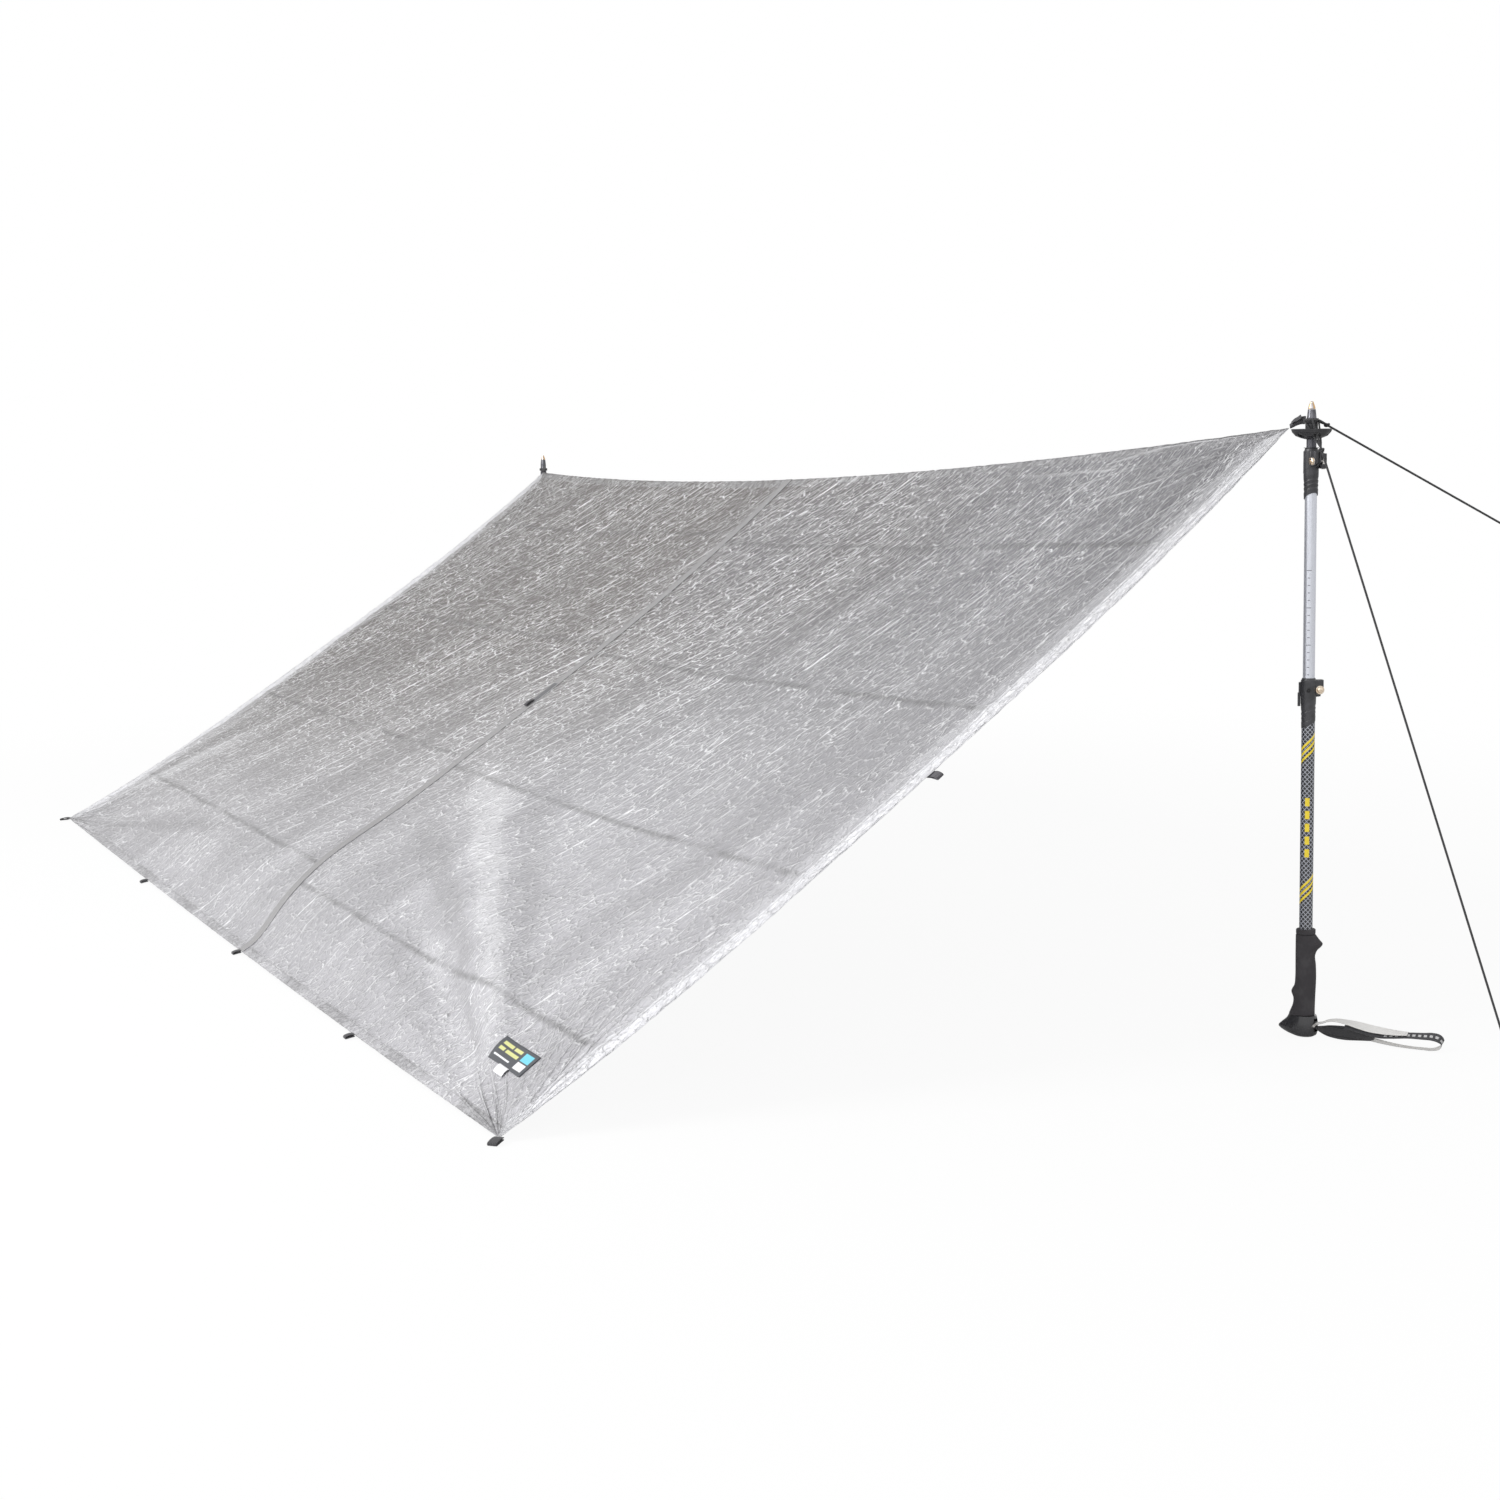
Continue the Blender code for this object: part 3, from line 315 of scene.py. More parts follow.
def newMaterial(name, roughness, metallic=0.0, coat=0.0, sheen=0.0, specular=0.5):
    material = bpy.data.materials.new(name)
    material.use_nodes = True
    shader = material.node_tree.nodes["Principled BSDF"]
    for label, value in (("Roughness", roughness), ("Metallic", metallic), ("Coat Weight", coat),
                         ("Sheen Weight", sheen), ("Specular IOR Level", specular)):
        shader.inputs[label].default_value = value
    return material, material.node_tree


def finished(material, colour, height, distance, strength, rough=None):
    tree = material.node_tree
    shader = tree.nodes["Principled BSDF"]
    bump = addNode(tree, "Bump")
    for label, value in {"Strength": strength, "Distance": distance, "Height": height}.items():
        wire(value, bump.inputs[label])
    wire(bump.outputs["Normal"], shader.inputs["Normal"])
    wire(colour, shader.inputs["Base Color"])
    if rough is not None:
        wire(rough, shader.inputs["Roughness"])
    return material


def mixShaders(tree, share, second):  # the second shader over the first, by share
    mixed = addNode(tree, "MixShader")
    for value, socket in zip((share, tree.nodes["Principled BSDF"].outputs[0], second.outputs[0]), mixed.inputs):
        wire(value, socket)
    wire(mixed.outputs[0], tree.nodes["Material Output"].inputs["Surface"])


# creases: thin crooked ridges between flat facets; with Along at 1 only those that lie along Y stay. The Line output
# is a lighter crease line, partly the laminate's own whitened crease and partly a painted highlight; the last output
# is a painted shade along one side of each crease
creaseShape = {"wanderScale": 0.9, "wanderRough": 0.62, "beside": 0.16, "steep": (0.03, 0.09), "facet": 0.26,
               "strong": (0.38, 0.6, 0.26, 1.0), "sharp": 0.25, "sideSoft": 0.02}


def creaseGroup():
    tree, given, out = newGroup(
        "thinCreases",
        {"Place": None, "Width": 0.004, "Length": 0.05, "Lean": 0.0, "Wander": 0.5, "Seed": 0.0, "Thin": 0.05,
         "Along": 0.0},
        ("Height", "Line", "Side"))
    x, y, _ = parts(given["Place"])
    leaned = plus(x, times(y, given["Lean"]))
    place = joined(plus(over(leaned, given["Width"]), given["Seed"]), plus(over(y, given["Length"]), given["Seed"]))
    wander = noiseAt(place, creaseShape["wanderScale"], detail=3.0, rough=creaseShape["wanderRough"], flat=True)
    shift = vectorNode("SUBTRACT", wander["Color"], (0.5, 0.5, 0.5))
    moved = vectorNode("ADD", place, vectorNode("SCALE", shift, given["Wander"]))
    ways = []
    for source in (moved, vectorNode("ADD", moved, (creaseShape["beside"], 0.0, 0.0))):
        cells = addNode(tree, "TexVoronoi", voronoi_dimensions="2D", feature="DISTANCE_TO_EDGE")
        for label, value in {"Vector": source, "Scale": 1.0, "Randomness": 1.0}.items():
            wire(value, cells.inputs[label])
        ways.append(cells.outputs["Distance"])
    here, beside = ways
    slope = minus(beside, here)
    kept = larger(ramp(sizeOf(slope), *creaseShape["steep"]), minus(1.0, given["Along"]))
    strong = ramp(wander["Fac"], *creaseShape["strong"])
    line = times(ramp(here, times(given["Thin"], creaseShape["sharp"]), given["Thin"], 1.0, 0.0), kept, strong)
    near = times(ramp(here, 0.0, creaseShape["facet"], 1.0, 0.0), kept, strong)
    wire(line, out["Line"])
    wire(times(near, ramp(slope, -creaseShape["sideSoft"], creaseShape["sideSoft"])), out["Side"])
    wire(plus(near, line), out["Height"])
    return tree


# a soft fold line left by packing, from one short edge to the other
foldShape = {"noiseScale": 7.0, "patches": (0.36, 0.56, 0.45, 1.0)}


def foldLineGroup():
    tree, given, out = newGroup(
        "packingFold", {"Place": None, "Start": 0.5, "Slope": 0.0, "Width": 0.012, "Wander": 0.01}, ("Line",))
    x, y, _ = parts(given["Place"])
    line = mathNode("MULTIPLY_ADD", x, given["Slope"], given["Start"])
    noise = noiseAt(given["Place"], foldShape["noiseScale"], detail=3.0, flat=True)
    wobble = times(minus(noise["Fac"], 0.5), given["Wander"])
    away = sizeOf(plus(minus(y, line), wobble))
    patchy = ramp(noise["Fac"], *foldShape["patches"])
    wire(times(ramp(away, 0.0, given["Width"], 1.0, 0.0), patchy), out["Line"])
    return tree


# woven webbing: place is metres along and across the band
weaveShape = {"pickHigh": 0.6, "pickLow": 0.4, "fuzzScale": 900.0, "toneEnd": 0.5}


def webbingGroup():
    tree, given, out = newGroup("webbingWeave", {"Place": None, "Pitch": 0.0016, "Rib": 0.0022}, ("Height", "Tone"))
    x, y, _ = parts(given["Place"])
    across = over(y, given["Rib"])
    along = plus(over(x, given["Pitch"]), times(whole(across), 0.5))
    ribs, picks = (sizeOf(sineOf(times(way, math.pi))) for way in (across, along))
    height = times(ribs, mathNode("MULTIPLY_ADD", picks, weaveShape["pickHigh"], weaveShape["pickLow"]))
    wire(height, out["Height"])
    wire(times(height, noiseAt(given["Place"], weaveShape["fuzzScale"])["Fac"]), out["Tone"])
    return tree


# moulded grain: fine pits, with soft rubbed patches
grainShape = {"broadScale": 55.0, "rubbed": (0.42, 0.66)}


def grainGroup():
    tree, given, out = newGroup("mouldedGrain", {"Place": None, "Scale": 900.0}, ("Height", "Rubbed"))
    wire(noiseAt(given["Place"], given["Scale"], detail=3.0)["Fac"], out["Height"])
    broad = noiseAt(given["Place"], grainShape["broadScale"], detail=4.0)["Fac"]
    wire(ramp(broad, *grainShape["rubbed"]), out["Rubbed"])
    return tree


creases = creaseGroup()
foldLine = foldLineGroup()
webbingWeave = webbingGroup()
mouldedGrain = grainGroup()


# stage: a pale floor and soft studio light
stage = {
    "floorColour": (0.8, 0.8, 0.8), "floorPlace": (-1.5, -0.6, -0.001), "floorRadius": 60.0, "nearWhite": 0.93,
    "whiteFrom": 1.4, "whiteTo": 3.6, "worldStrength": 0.62, "keyPlace": (-0.9, -4.9, 3.1), "keySize": 2.6,
    "keyPower": 228.0, "fillPlace": (3.4, -2.8, 2.6), "fillSize": 2.4, "fillPower": 26.0, "aim": (-1.4, -0.5, 0.4),
}


def makeLamp(name, place, size, power):
    data = bpy.data.lights.new(name, "AREA")
    data.shape = "SQUARE"
    data.size = size
    data.energy = power
    lamp = bpy.data.objects.new(name, data)
    lamp.location = place
    lamp.rotation_euler = (Vector(stage["aim"]) - Vector(place)).to_track_quat("-Z", "Y").to_euler()
    bpy.context.scene.collection.objects.link(lamp)


def makeStage():
    scene = bpy.context.scene
    scene.view_settings.view_transform = "Standard"
    world = bpy.data.worlds.new("studio")
    world.use_nodes = True
    scene.world = world
    background = world.node_tree.nodes["Background"]
    background.inputs["Color"].default_value = (1.0, 1.0, 1.0, 1.0)
    rays = addNode(world.node_tree, "LightPath").outputs
    seen = larger(rays["Is Camera Ray"], rays["Is Glossy Ray"])
    wire(ramp(seen, 0.0, 1.0, stage["worldStrength"], 1.0, smooth=False), background.inputs["Strength"])
    makeLamp("keyLamp", stage["keyPlace"], stage["keySize"], stage["keyPower"])
    makeLamp("fillLamp", stage["fillPlace"], stage["fillSize"], stage["fillPower"])
    bm = bmesh.new()
    bmesh.ops.create_circle(bm, cap_ends=True, radius=stage["floorRadius"], segments=96)
    mesh = bpy.data.meshes.new("floor")
    bm.to_mesh(mesh)
    bm.free()
    material, tree = newMaterial("paleFloor", 0.9)
    wire(stage["floorColour"], tree.nodes["Principled BSDF"].inputs["Base Color"])
    distance = addNode(tree, "VectorMath", operation="LENGTH")
    wire(objectPlace(tree), distance.inputs[0])
    white = ramp(distance.outputs["Value"], stage["whiteFrom"], stage["whiteTo"], stage["nearWhite"], 1.0)
    seen = addNode(tree, "LightPath").outputs["Is Camera Ray"]
    mixShaders(tree, times(seen, white), addNode(tree, "Emission"))
    floor = linkMesh("floor", mesh, material)
    floor.location = stage["floorPlace"]


makeStage()
print("stage lit")


# sheet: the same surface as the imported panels
sheet = {
    "poleDistance": 3.064, "rightPoleHeight": 0.861, "leftPoleHeight": 0.774, "rightCornerDrop": 0.035,
    "leftCornerDrop": 0.041, "cornerReach": 0.03, "rightCornerBearing": -135.0, "leftCornerBearing": -20.0,
    "frontReachRight": 1.157, "frontReachLeft": 1.188, "frontRightShift": -0.004, "frontSpan": 2.878,
    "frontHeight": 0.0045, "frontBow": 0.01, "frontDraw": 0.26, "frontDrawSkew": 0.25, "frontDrawFade": 0.2,
    "backSag": 0.052, "backDrop": 0.013, "sideSag": 0.03, "humpHeight": 0.03, "humpPlace": 0.13, "humpSpread": 0.13,
    "humpStart": 0.05, "middleSag": 0.006, "thickness": 0.0007, "hemWidth": 0.018, "sideHemWidth": 0.034,
    "hemStep": 0.0006, "seamInset": 0.003, "hemSoft": 0.0012, "seamDeep": 0.0005, "seamWide": 0.0016,
    "puckerHigh": 0.0006, "puckerLong": 0.011, "puckerReach": 0.03, "columns": 176, "rows": 168,
    "hemColumns": (0.0045, 0.009, 0.0135, 0.0165, 0.0195, 0.024), "leastGap": 0.0018,
}
cornerFolds = (  # from the left or not, angle from the front edge, height, spread
    (False, 12.5, -0.012, 4.0),
    (False, 21.5, 0.012, 4.5),
    (True, 28.0, 0.007, 7.0),
)
foldReach = {"start": 0.31, "end": 1.15, "fade": 0.1, "edgeAlong": 0.06, "edgeAcross": 0.03}
packingFolds = {  # height on the sheet at its left edge and at the seam, then at the seam and at its right edge
    "left": ((0.868, 0.894), (0.632, 0.657), (0.388, 0.408), (0.15, 0.155)),
    "right": ((0.873, 0.848), (0.636, 0.608), (0.386, 0.37), (0.117, 0.124)),
}


def sheetCorner(x, bearing, height):
    angle = math.radians(bearing)
    return np.array([x + sheet["cornerReach"] * math.cos(angle), sheet["cornerReach"] * math.sin(angle), height])


frontLeft = np.array([sheet["frontRightShift"] - sheet["frontSpan"], -sheet["frontReachLeft"], sheet["frontHeight"]])
frontRight = np.array([sheet["frontRightShift"], -sheet["frontReachRight"], sheet["frontHeight"]])
backRight = sheetCorner(0.0, sheet["rightCornerBearing"], sheet["rightPoleHeight"] - sheet["rightCornerDrop"])
backLeft = sheetCorner(-sheet["poleDistance"], sheet["leftCornerBearing"],
                       sheet["leftPoleHeight"] - sheet["leftCornerDrop"])
downSlope = frontLeft + frontRight - backLeft - backRight
downSlope /= np.linalg.norm(downSlope)
sheetLength = float(np.linalg.norm(backRight - backLeft))
sheetWidth = float(np.linalg.norm(backRight - frontRight))
hemShare = sheet["hemWidth"] / sheet["sideHemWidth"]
streaks = {"lean": 0.75, "start": 0.22, "hold": 0.3}


def lerp(a, b, share):
    return a + (b - a) * share[..., None]


def flatSheet(u, v):
    slack = (4 * u * (1 - u))[..., None]
    bow = slack * np.array([0.0, -sheet["frontBow"], 0.0])
    sag = slack * (sheet["backSag"] * downSlope - np.array([0.0, 0.0, sheet["backDrop"]]))
    front = lerp(frontLeft, frontRight, u) + bow
    back = lerp(backLeft, backRight, u) + sag
    droop = (sheet["sideSag"] * (1 - np.abs(2 * v - 1) ** 3))[..., None] * np.array([0.0, 0.0, 1.0])
    left = lerp(frontLeft, backLeft, v) - droop
    right = lerp(frontRight, backRight, v) - droop
    low = lerp(frontLeft, frontRight, u)
    high = lerp(backLeft, backRight, u)
    drawn = sheet["frontDraw"] * u * (1 - u) * (1 + sheet["frontDrawSkew"] * (1 - 2 * u))
    drawn = drawn * np.exp(-(v / sheet["frontDrawFade"]) ** 2)
    up = v[..., None]
    over = u[..., None]
    edges = (1 - up) * front + up * back + (1 - over) * left + over * right
    return edges - ((1 - up) * low + up * high) + drawn[..., None] * (frontRight - frontLeft)


def sheetNormal(u, v, step=0.001):
    along = flatSheet(np.minimum(u + step, 1), v) - flatSheet(np.maximum(u - step, 0), v)
    across = flatSheet(u, np.minimum(v + step, 1)) - flatSheet(u, np.maximum(v - step, 0))
    normal = np.cross(along, across)
    return normal / np.linalg.norm(normal, axis=-1, keepdims=True)


def polar(x, y):
    return np.hypot(x, y), np.arctan2(y, np.maximum(x, 1e-9))


def bell(away, wide):
    return np.exp(-(away / wide) ** 2)


def between(value, start, end, softStart, softEnd):  # 1 between start and end
    return 1 / (1 + np.exp(-(value - start) / softStart)) / (1 + np.exp((value - end) / softEnd))


def mainRelief(u, v):
    across = np.sin(math.pi * np.clip(u, 0, 1)) ** 0.7
    hump = sheet["humpHeight"] * bell(v - sheet["humpPlace"], sheet["humpSpread"]) * (1 - bell(v, sheet["humpStart"]))
    folds = np.zeros_like(u)
    for fromLeft, angle, height, spread in cornerFolds:
        reach, turn = polar((u if fromLeft else 1 - u) * sheetLength, v * sheetWidth)
        shown = between(reach, foldReach["start"], foldReach["end"], foldReach["fade"] * 0.4, foldReach["fade"])
        folds += height * shown * bell(np.degrees(turn) - angle, spread)
    edge = np.minimum(1, np.minimum(v, 1 - v) / foldReach["edgeAlong"])
    edge = edge * np.minimum(1, np.minimum(u, 1 - u) / foldReach["edgeAcross"])
    return across * (hump - sheet["middleSag"] * np.sin(math.pi * v)) + folds * edge


def streakPlace(u, v):  # metres across and along the lines that the pull towards the high corner makes
    x, y = u * sheetLength, v * sheetWidth
    lean = streaks["lean"] * (y - streaks["start"] * (1 - np.exp(-y / streaks["start"])))
    return pack(x - lean * np.clip((1 - u) / streaks["hold"], 0, 1) ** 0.8, y, 0.0)


crinkles = (  # along the streaks or not, width, length, height, shift across and along, seed
    (True, 0.034, 0.17, 0.0011, 40, 20, 3),
    (True, 0.017, 0.06, 0.0005, 90, 70, 4),
    (False, 0.2, 0.15, 0.0022, 10, 30, 5),
)
foldLook = {"height": 0.0016, "wide": 0.008, "wander": 0.002, "wanderLong": 0.16}
stiff = {  # where the sheet lies flatter: its edges, its seam and round the label
    "edge": 0.03, "seam": 0.01, "seamLeast": 0.12, "labelFromSide": 0.201, "labelHalfWide": 0.072, "labelUp": 0.103,
    "labelHalfHigh": 0.02, "labelFade": 0.02, "labelLeast": 0.1,
}
pullLook = {"corner": 1.57, "ridgeLong": 0.5, "bare": 0.1, "highReach": 0.42, "otherReach": 0.26}
cornerPulls = (  # which corner, ridges in its right angle, height, reach
    ((0, 0), 15.0, 0.003, 0.34),
    ((1, 0), 11.0, 0.0052, 0.4),
    ((0, 1), 16.0, 0.0022, 0.26),
    ((1, 1), 22.0, 0.0026, 0.42),
)


def fineRelief(u, v):
    streak = streakPlace(u, v)[..., 0]
    x, y = u * sheetLength, v * sheetWidth
    height = np.zeros_like(x)
    for pulled, wide, long, high, shiftX, shiftY, seed in crinkles:
        height += high * waves((streak if pulled else x) / wide + shiftX, y / long + shiftY, seed)
    for number, ((cornerX, cornerY), count, pull, length) in enumerate(cornerPulls):
        reach, turn = polar(np.abs(x - cornerX * sheetLength), np.abs(y - cornerY * sheetWidth))
        ridges = waves(turn * count / pullLook["corner"] + 7 * number, reach / pullLook["ridgeLong"] + 3, 11 + number)
        height += pull * ridges * bell(reach, length) * np.clip(reach / pullLook["bare"], 0, 1)
    for side, lines in packingFolds.items():
        inSide = u <= 0.5 if side == "left" else u > 0.5
        share = np.clip(2 * u - (side == "right"), 0, 1)
        for start, end in lines:
            line = start + (end - start) * share
            away = (v - line) * sheetWidth + foldLook["wander"] * waves(x / foldLook["wanderLong"], line * 9, 21)
            height += np.where(inSide, foldLook["height"] * bell(away, foldLook["wide"]), 0.0)
    quiet = np.minimum(np.minimum(x, sheetLength - x), np.minimum(y, sheetWidth - y)) / stiff["edge"]
    seam = (np.abs(x - sheetLength / 2) - stiff["seam"]) / stiff["edge"]
    awayX = np.abs(x - (sheetLength - stiff["labelFromSide"])) - stiff["labelHalfWide"]
    awayY = np.abs(y - stiff["labelUp"]) - stiff["labelHalfHigh"]
    label = np.clip(np.maximum(awayX, awayY) / stiff["labelFade"], stiff["labelLeast"], 1)
    return height * np.clip(quiet, 0, 1) * np.clip(seam, stiff["seamLeast"], 1) * label


def pullPlace(u, v):  # the angle round the nearest corner, the distance from it, and how strongly it pulls
    reach, turn = polar(np.minimum(u, 1 - u) * sheetLength, np.minimum(v, 1 - v) * sheetWidth)
    farthest = np.where((u > 0.5) & (v > 0.5), pullLook["highReach"], pullLook["otherReach"])
    return pack(turn + 2.0 * (u > 0.5) + 4.0 * (v > 0.5), reach, bell(reach, farthest))


toneLook = {"waver": 0.5, "waverLong": 0.09, "fadeIn": 0.03, "fadeOut": 0.06, "cloudShare": 0.6,
            "cloud": (0.13, 0.26), "wisp": (0.05, 0.12), "sweep": (0.55, 0.4)}
# bands of painted shade where the tone is below 0 and painted highlight where it is above 0
paintedFoldBands = (  # from the left corner or not, angle from the front edge, spread, nearest and farthest, tone
    (False, 6.5, 1.0, 0.3, 0.75, -0.7),
    (False, 10.5, 1.3, 0.22, 0.6, 0.6),
    (False, 14.8, 1.4, 0.33, 0.62, -0.8),
    (False, 18.6, 1.4, 0.26, 0.5, 0.5),
    (False, 9.2, 1.4, 0.62, 0.98, -0.5),
    (False, 12.7, 1.2, 0.62, 0.92, 0.6),
    (False, 17.0, 1.7, 0.62, 1.36, -1.0),
    (False, 22.4, 1.9, 0.36, 1.42, 1.0),
    (False, 28.0, 2.4, 0.5, 1.15, -0.6),
    (True, 12.3, 1.5, 0.12, 0.9, -0.9),
    (True, 19.0, 2.2, 0.12, 0.6, 0.4),
    (True, 33.0, 4.0, 0.1, 0.45, -0.4),
    (True, 58.0, 7.0, 0.06, 0.5, 0.9),
    (True, 78.0, 5.0, 0.06, 0.6, 0.6),
)


def foldShadeTone(u, v):  # painted shade and painted highlight in bands that fan out from the corners, dark in the folds' valleys and light on their ridges; the bands also set how dense the crease lines are; then a slow cloud
    x, y = u * sheetLength, v * sheetWidth
    tone = np.zeros_like(x)
    for number, (fromLeft, angle, spread, near, far, strength) in enumerate(paintedFoldBands):
        reach, turn = polar(x if fromLeft else sheetLength - x, y)
        waver = waves(reach / toneLook["waverLong"] + 5 * number, y * 4, 50 + number)
        turn = np.degrees(turn) + toneLook["waver"] * spread * waver
        shown = between(reach, near, far, toneLook["fadeIn"], toneLook["fadeOut"])
        tone += strength * shown * bell(turn - angle, spread)
    streak = streakPlace(u, v)[..., 0]
    (cloudX, cloudY), (wispX, wispY), (sweepX, sweepY) = toneLook["cloud"], toneLook["wisp"], toneLook["sweep"]
    cloud = toneLook["cloudShare"] * waves(streak / cloudX + 9, y / cloudY + 4, 61)
    cloud += (1 - toneLook["cloudShare"]) * waves(streak / wispX, y / wispY, 62)
    return pack(tone, cloud, waves(x / sweepX + 3, y / sweepY + 8, 63))


def hemRelief(u, v):  # the turned-in hem lies on the sheet, drawn in by its seam
    toSide, toEnd = np.minimum(u, 1 - u) * sheetLength, np.minimum(v, 1 - v) * sheetWidth
    edge = np.minimum(toSide * hemShare, toEnd)
    lift = sheet["hemStep"] / (1 + np.exp((edge - sheet["hemWidth"]) / sheet["hemSoft"]))
    seam = -sheet["seamDeep"] * bell(edge - sheet["hemWidth"] + sheet["seamInset"], sheet["seamWide"])
    along = np.where(toSide < toEnd, v * sheetWidth, u * sheetLength)
    pucker = waves(along / sheet["puckerLong"], edge / sheet["puckerReach"], 31) * bell(edge, sheet["puckerReach"])
    return lift + seam + sheet["puckerHigh"] * pucker


def sheetSurface(u, v, lift=0.0, fine=1.0):
    u = np.asarray(u, float)
    v = np.asarray(v, float)
    inside = np.clip(u, 0, 1)
    height = mainRelief(inside, v) + fine * (fineRelief(inside, v) + hemRelief(inside, v)) + lift
    return flatSheet(u, v) + sheetNormal(u, v) * height[..., None]


def hemLines(count, start, end, length, hemAtStart, hemAtEnd):
    lines = list(np.linspace(start, end, count))
    for away in sheet["hemColumns"]:
        lines += [start + away / length] * hemAtStart + [end - away / length] * hemAtEnd
    lines = sorted(lines)
    kept = [lines[0]]
    for line in lines[1:]:
        if line - kept[-1] > sheet["leastGap"] / length or line == lines[-1]:
            kept.append(line)
    return np.array(kept)


def sheetMarks(u, v):
    return {"clothPlace": pack(u * sheetLength, v * sheetWidth, 0.0), "streakPlace": streakPlace(u, v),
            "pullPlace": pullPlace(u, v), "foldShadeTone": foldShadeTone(u, v)}


# cloth: a thin silver-grey laminate, creased all over
# low is the front of the sheet; the two high colours are a painted shade towards its top
clothLook = {
    "low": (0.54, 0.533, 0.562), "shadedHighWarm": (0.146, 0.128, 0.119), "shadedHighCool": (0.212, 0.207, 0.226),
    "line": (0.98, 0.98, 1.0), "dark": (0.17, 0.166, 0.168), "fold": (0.15, 0.147, 0.148),
    "hem": (0.88, 0.88, 0.91), "hemShade": (0.3, 0.295, 0.305), "through": 0.2, "shadeClimb": 0.2, "shadeClimbEnd": 0.8,
}
clothRamps = {  # from, to, and what each end gives
    "warm": (1.0, 2.6),
    "cloud": (-0.7, 0.8, 0.2, 0.0),
    # pulled: painted shade in the fold valleys; the next ramp paints highlight on the fold ridges
    "pulled": (-0.9, 0.0, 0.25, 0.0),
    "foldRidgeHighlight": (0.0, 0.9, 0.0, 0.34),
    "grain": (0.4, 0.62, 0.0, 0.1),
    "density": (-0.9, 0.9, 0.62, 1.45),
    "stretch": (0.44, 0.6, 0.1, 0.6),
    "pucker": (0.46, 0.6),
    "seam": (0.0, 0.0012, 1.0, 0.0),
    "rough": (0.0, 1.0, 0.52, 0.38),
}
clothShares = {"side": 0.15, "rays": 0.85, "rayShadeSide": 0.22, "folds": 0.46, "behind": 0.28, "hem": 0.9, "seam": 0.35,
               "longGlint": 0.2, "shortGlint": 0.75}
clothRays = {"Width": 0.11, "Length": 0.4, "Wander": 0.45, "Thin": 0.11, "Along": 1.0}
clothBumps = {"grain": 0.3, "rays": 2.6, "glint": 0.8, "distance": 0.0016, "strength": 0.75}
clothCreases = (  # width, length, lean, wander, thin, along only, how bright, bump
    (0.0125, 0.018, 0.4, 0.5, 0.085, 0.0, 0.75, 0.9),
    (0.026, 0.036, -0.45, 0.65, 0.05, 0.0, 1.0, 1.5),
    (0.019, 0.1, 0.06, 1.1, 0.08, 1.0, 0.5, 0.7),
    (0.042, 0.25, -0.05, 0.9, 0.05, 1.0, 0.95, 1.3),
)


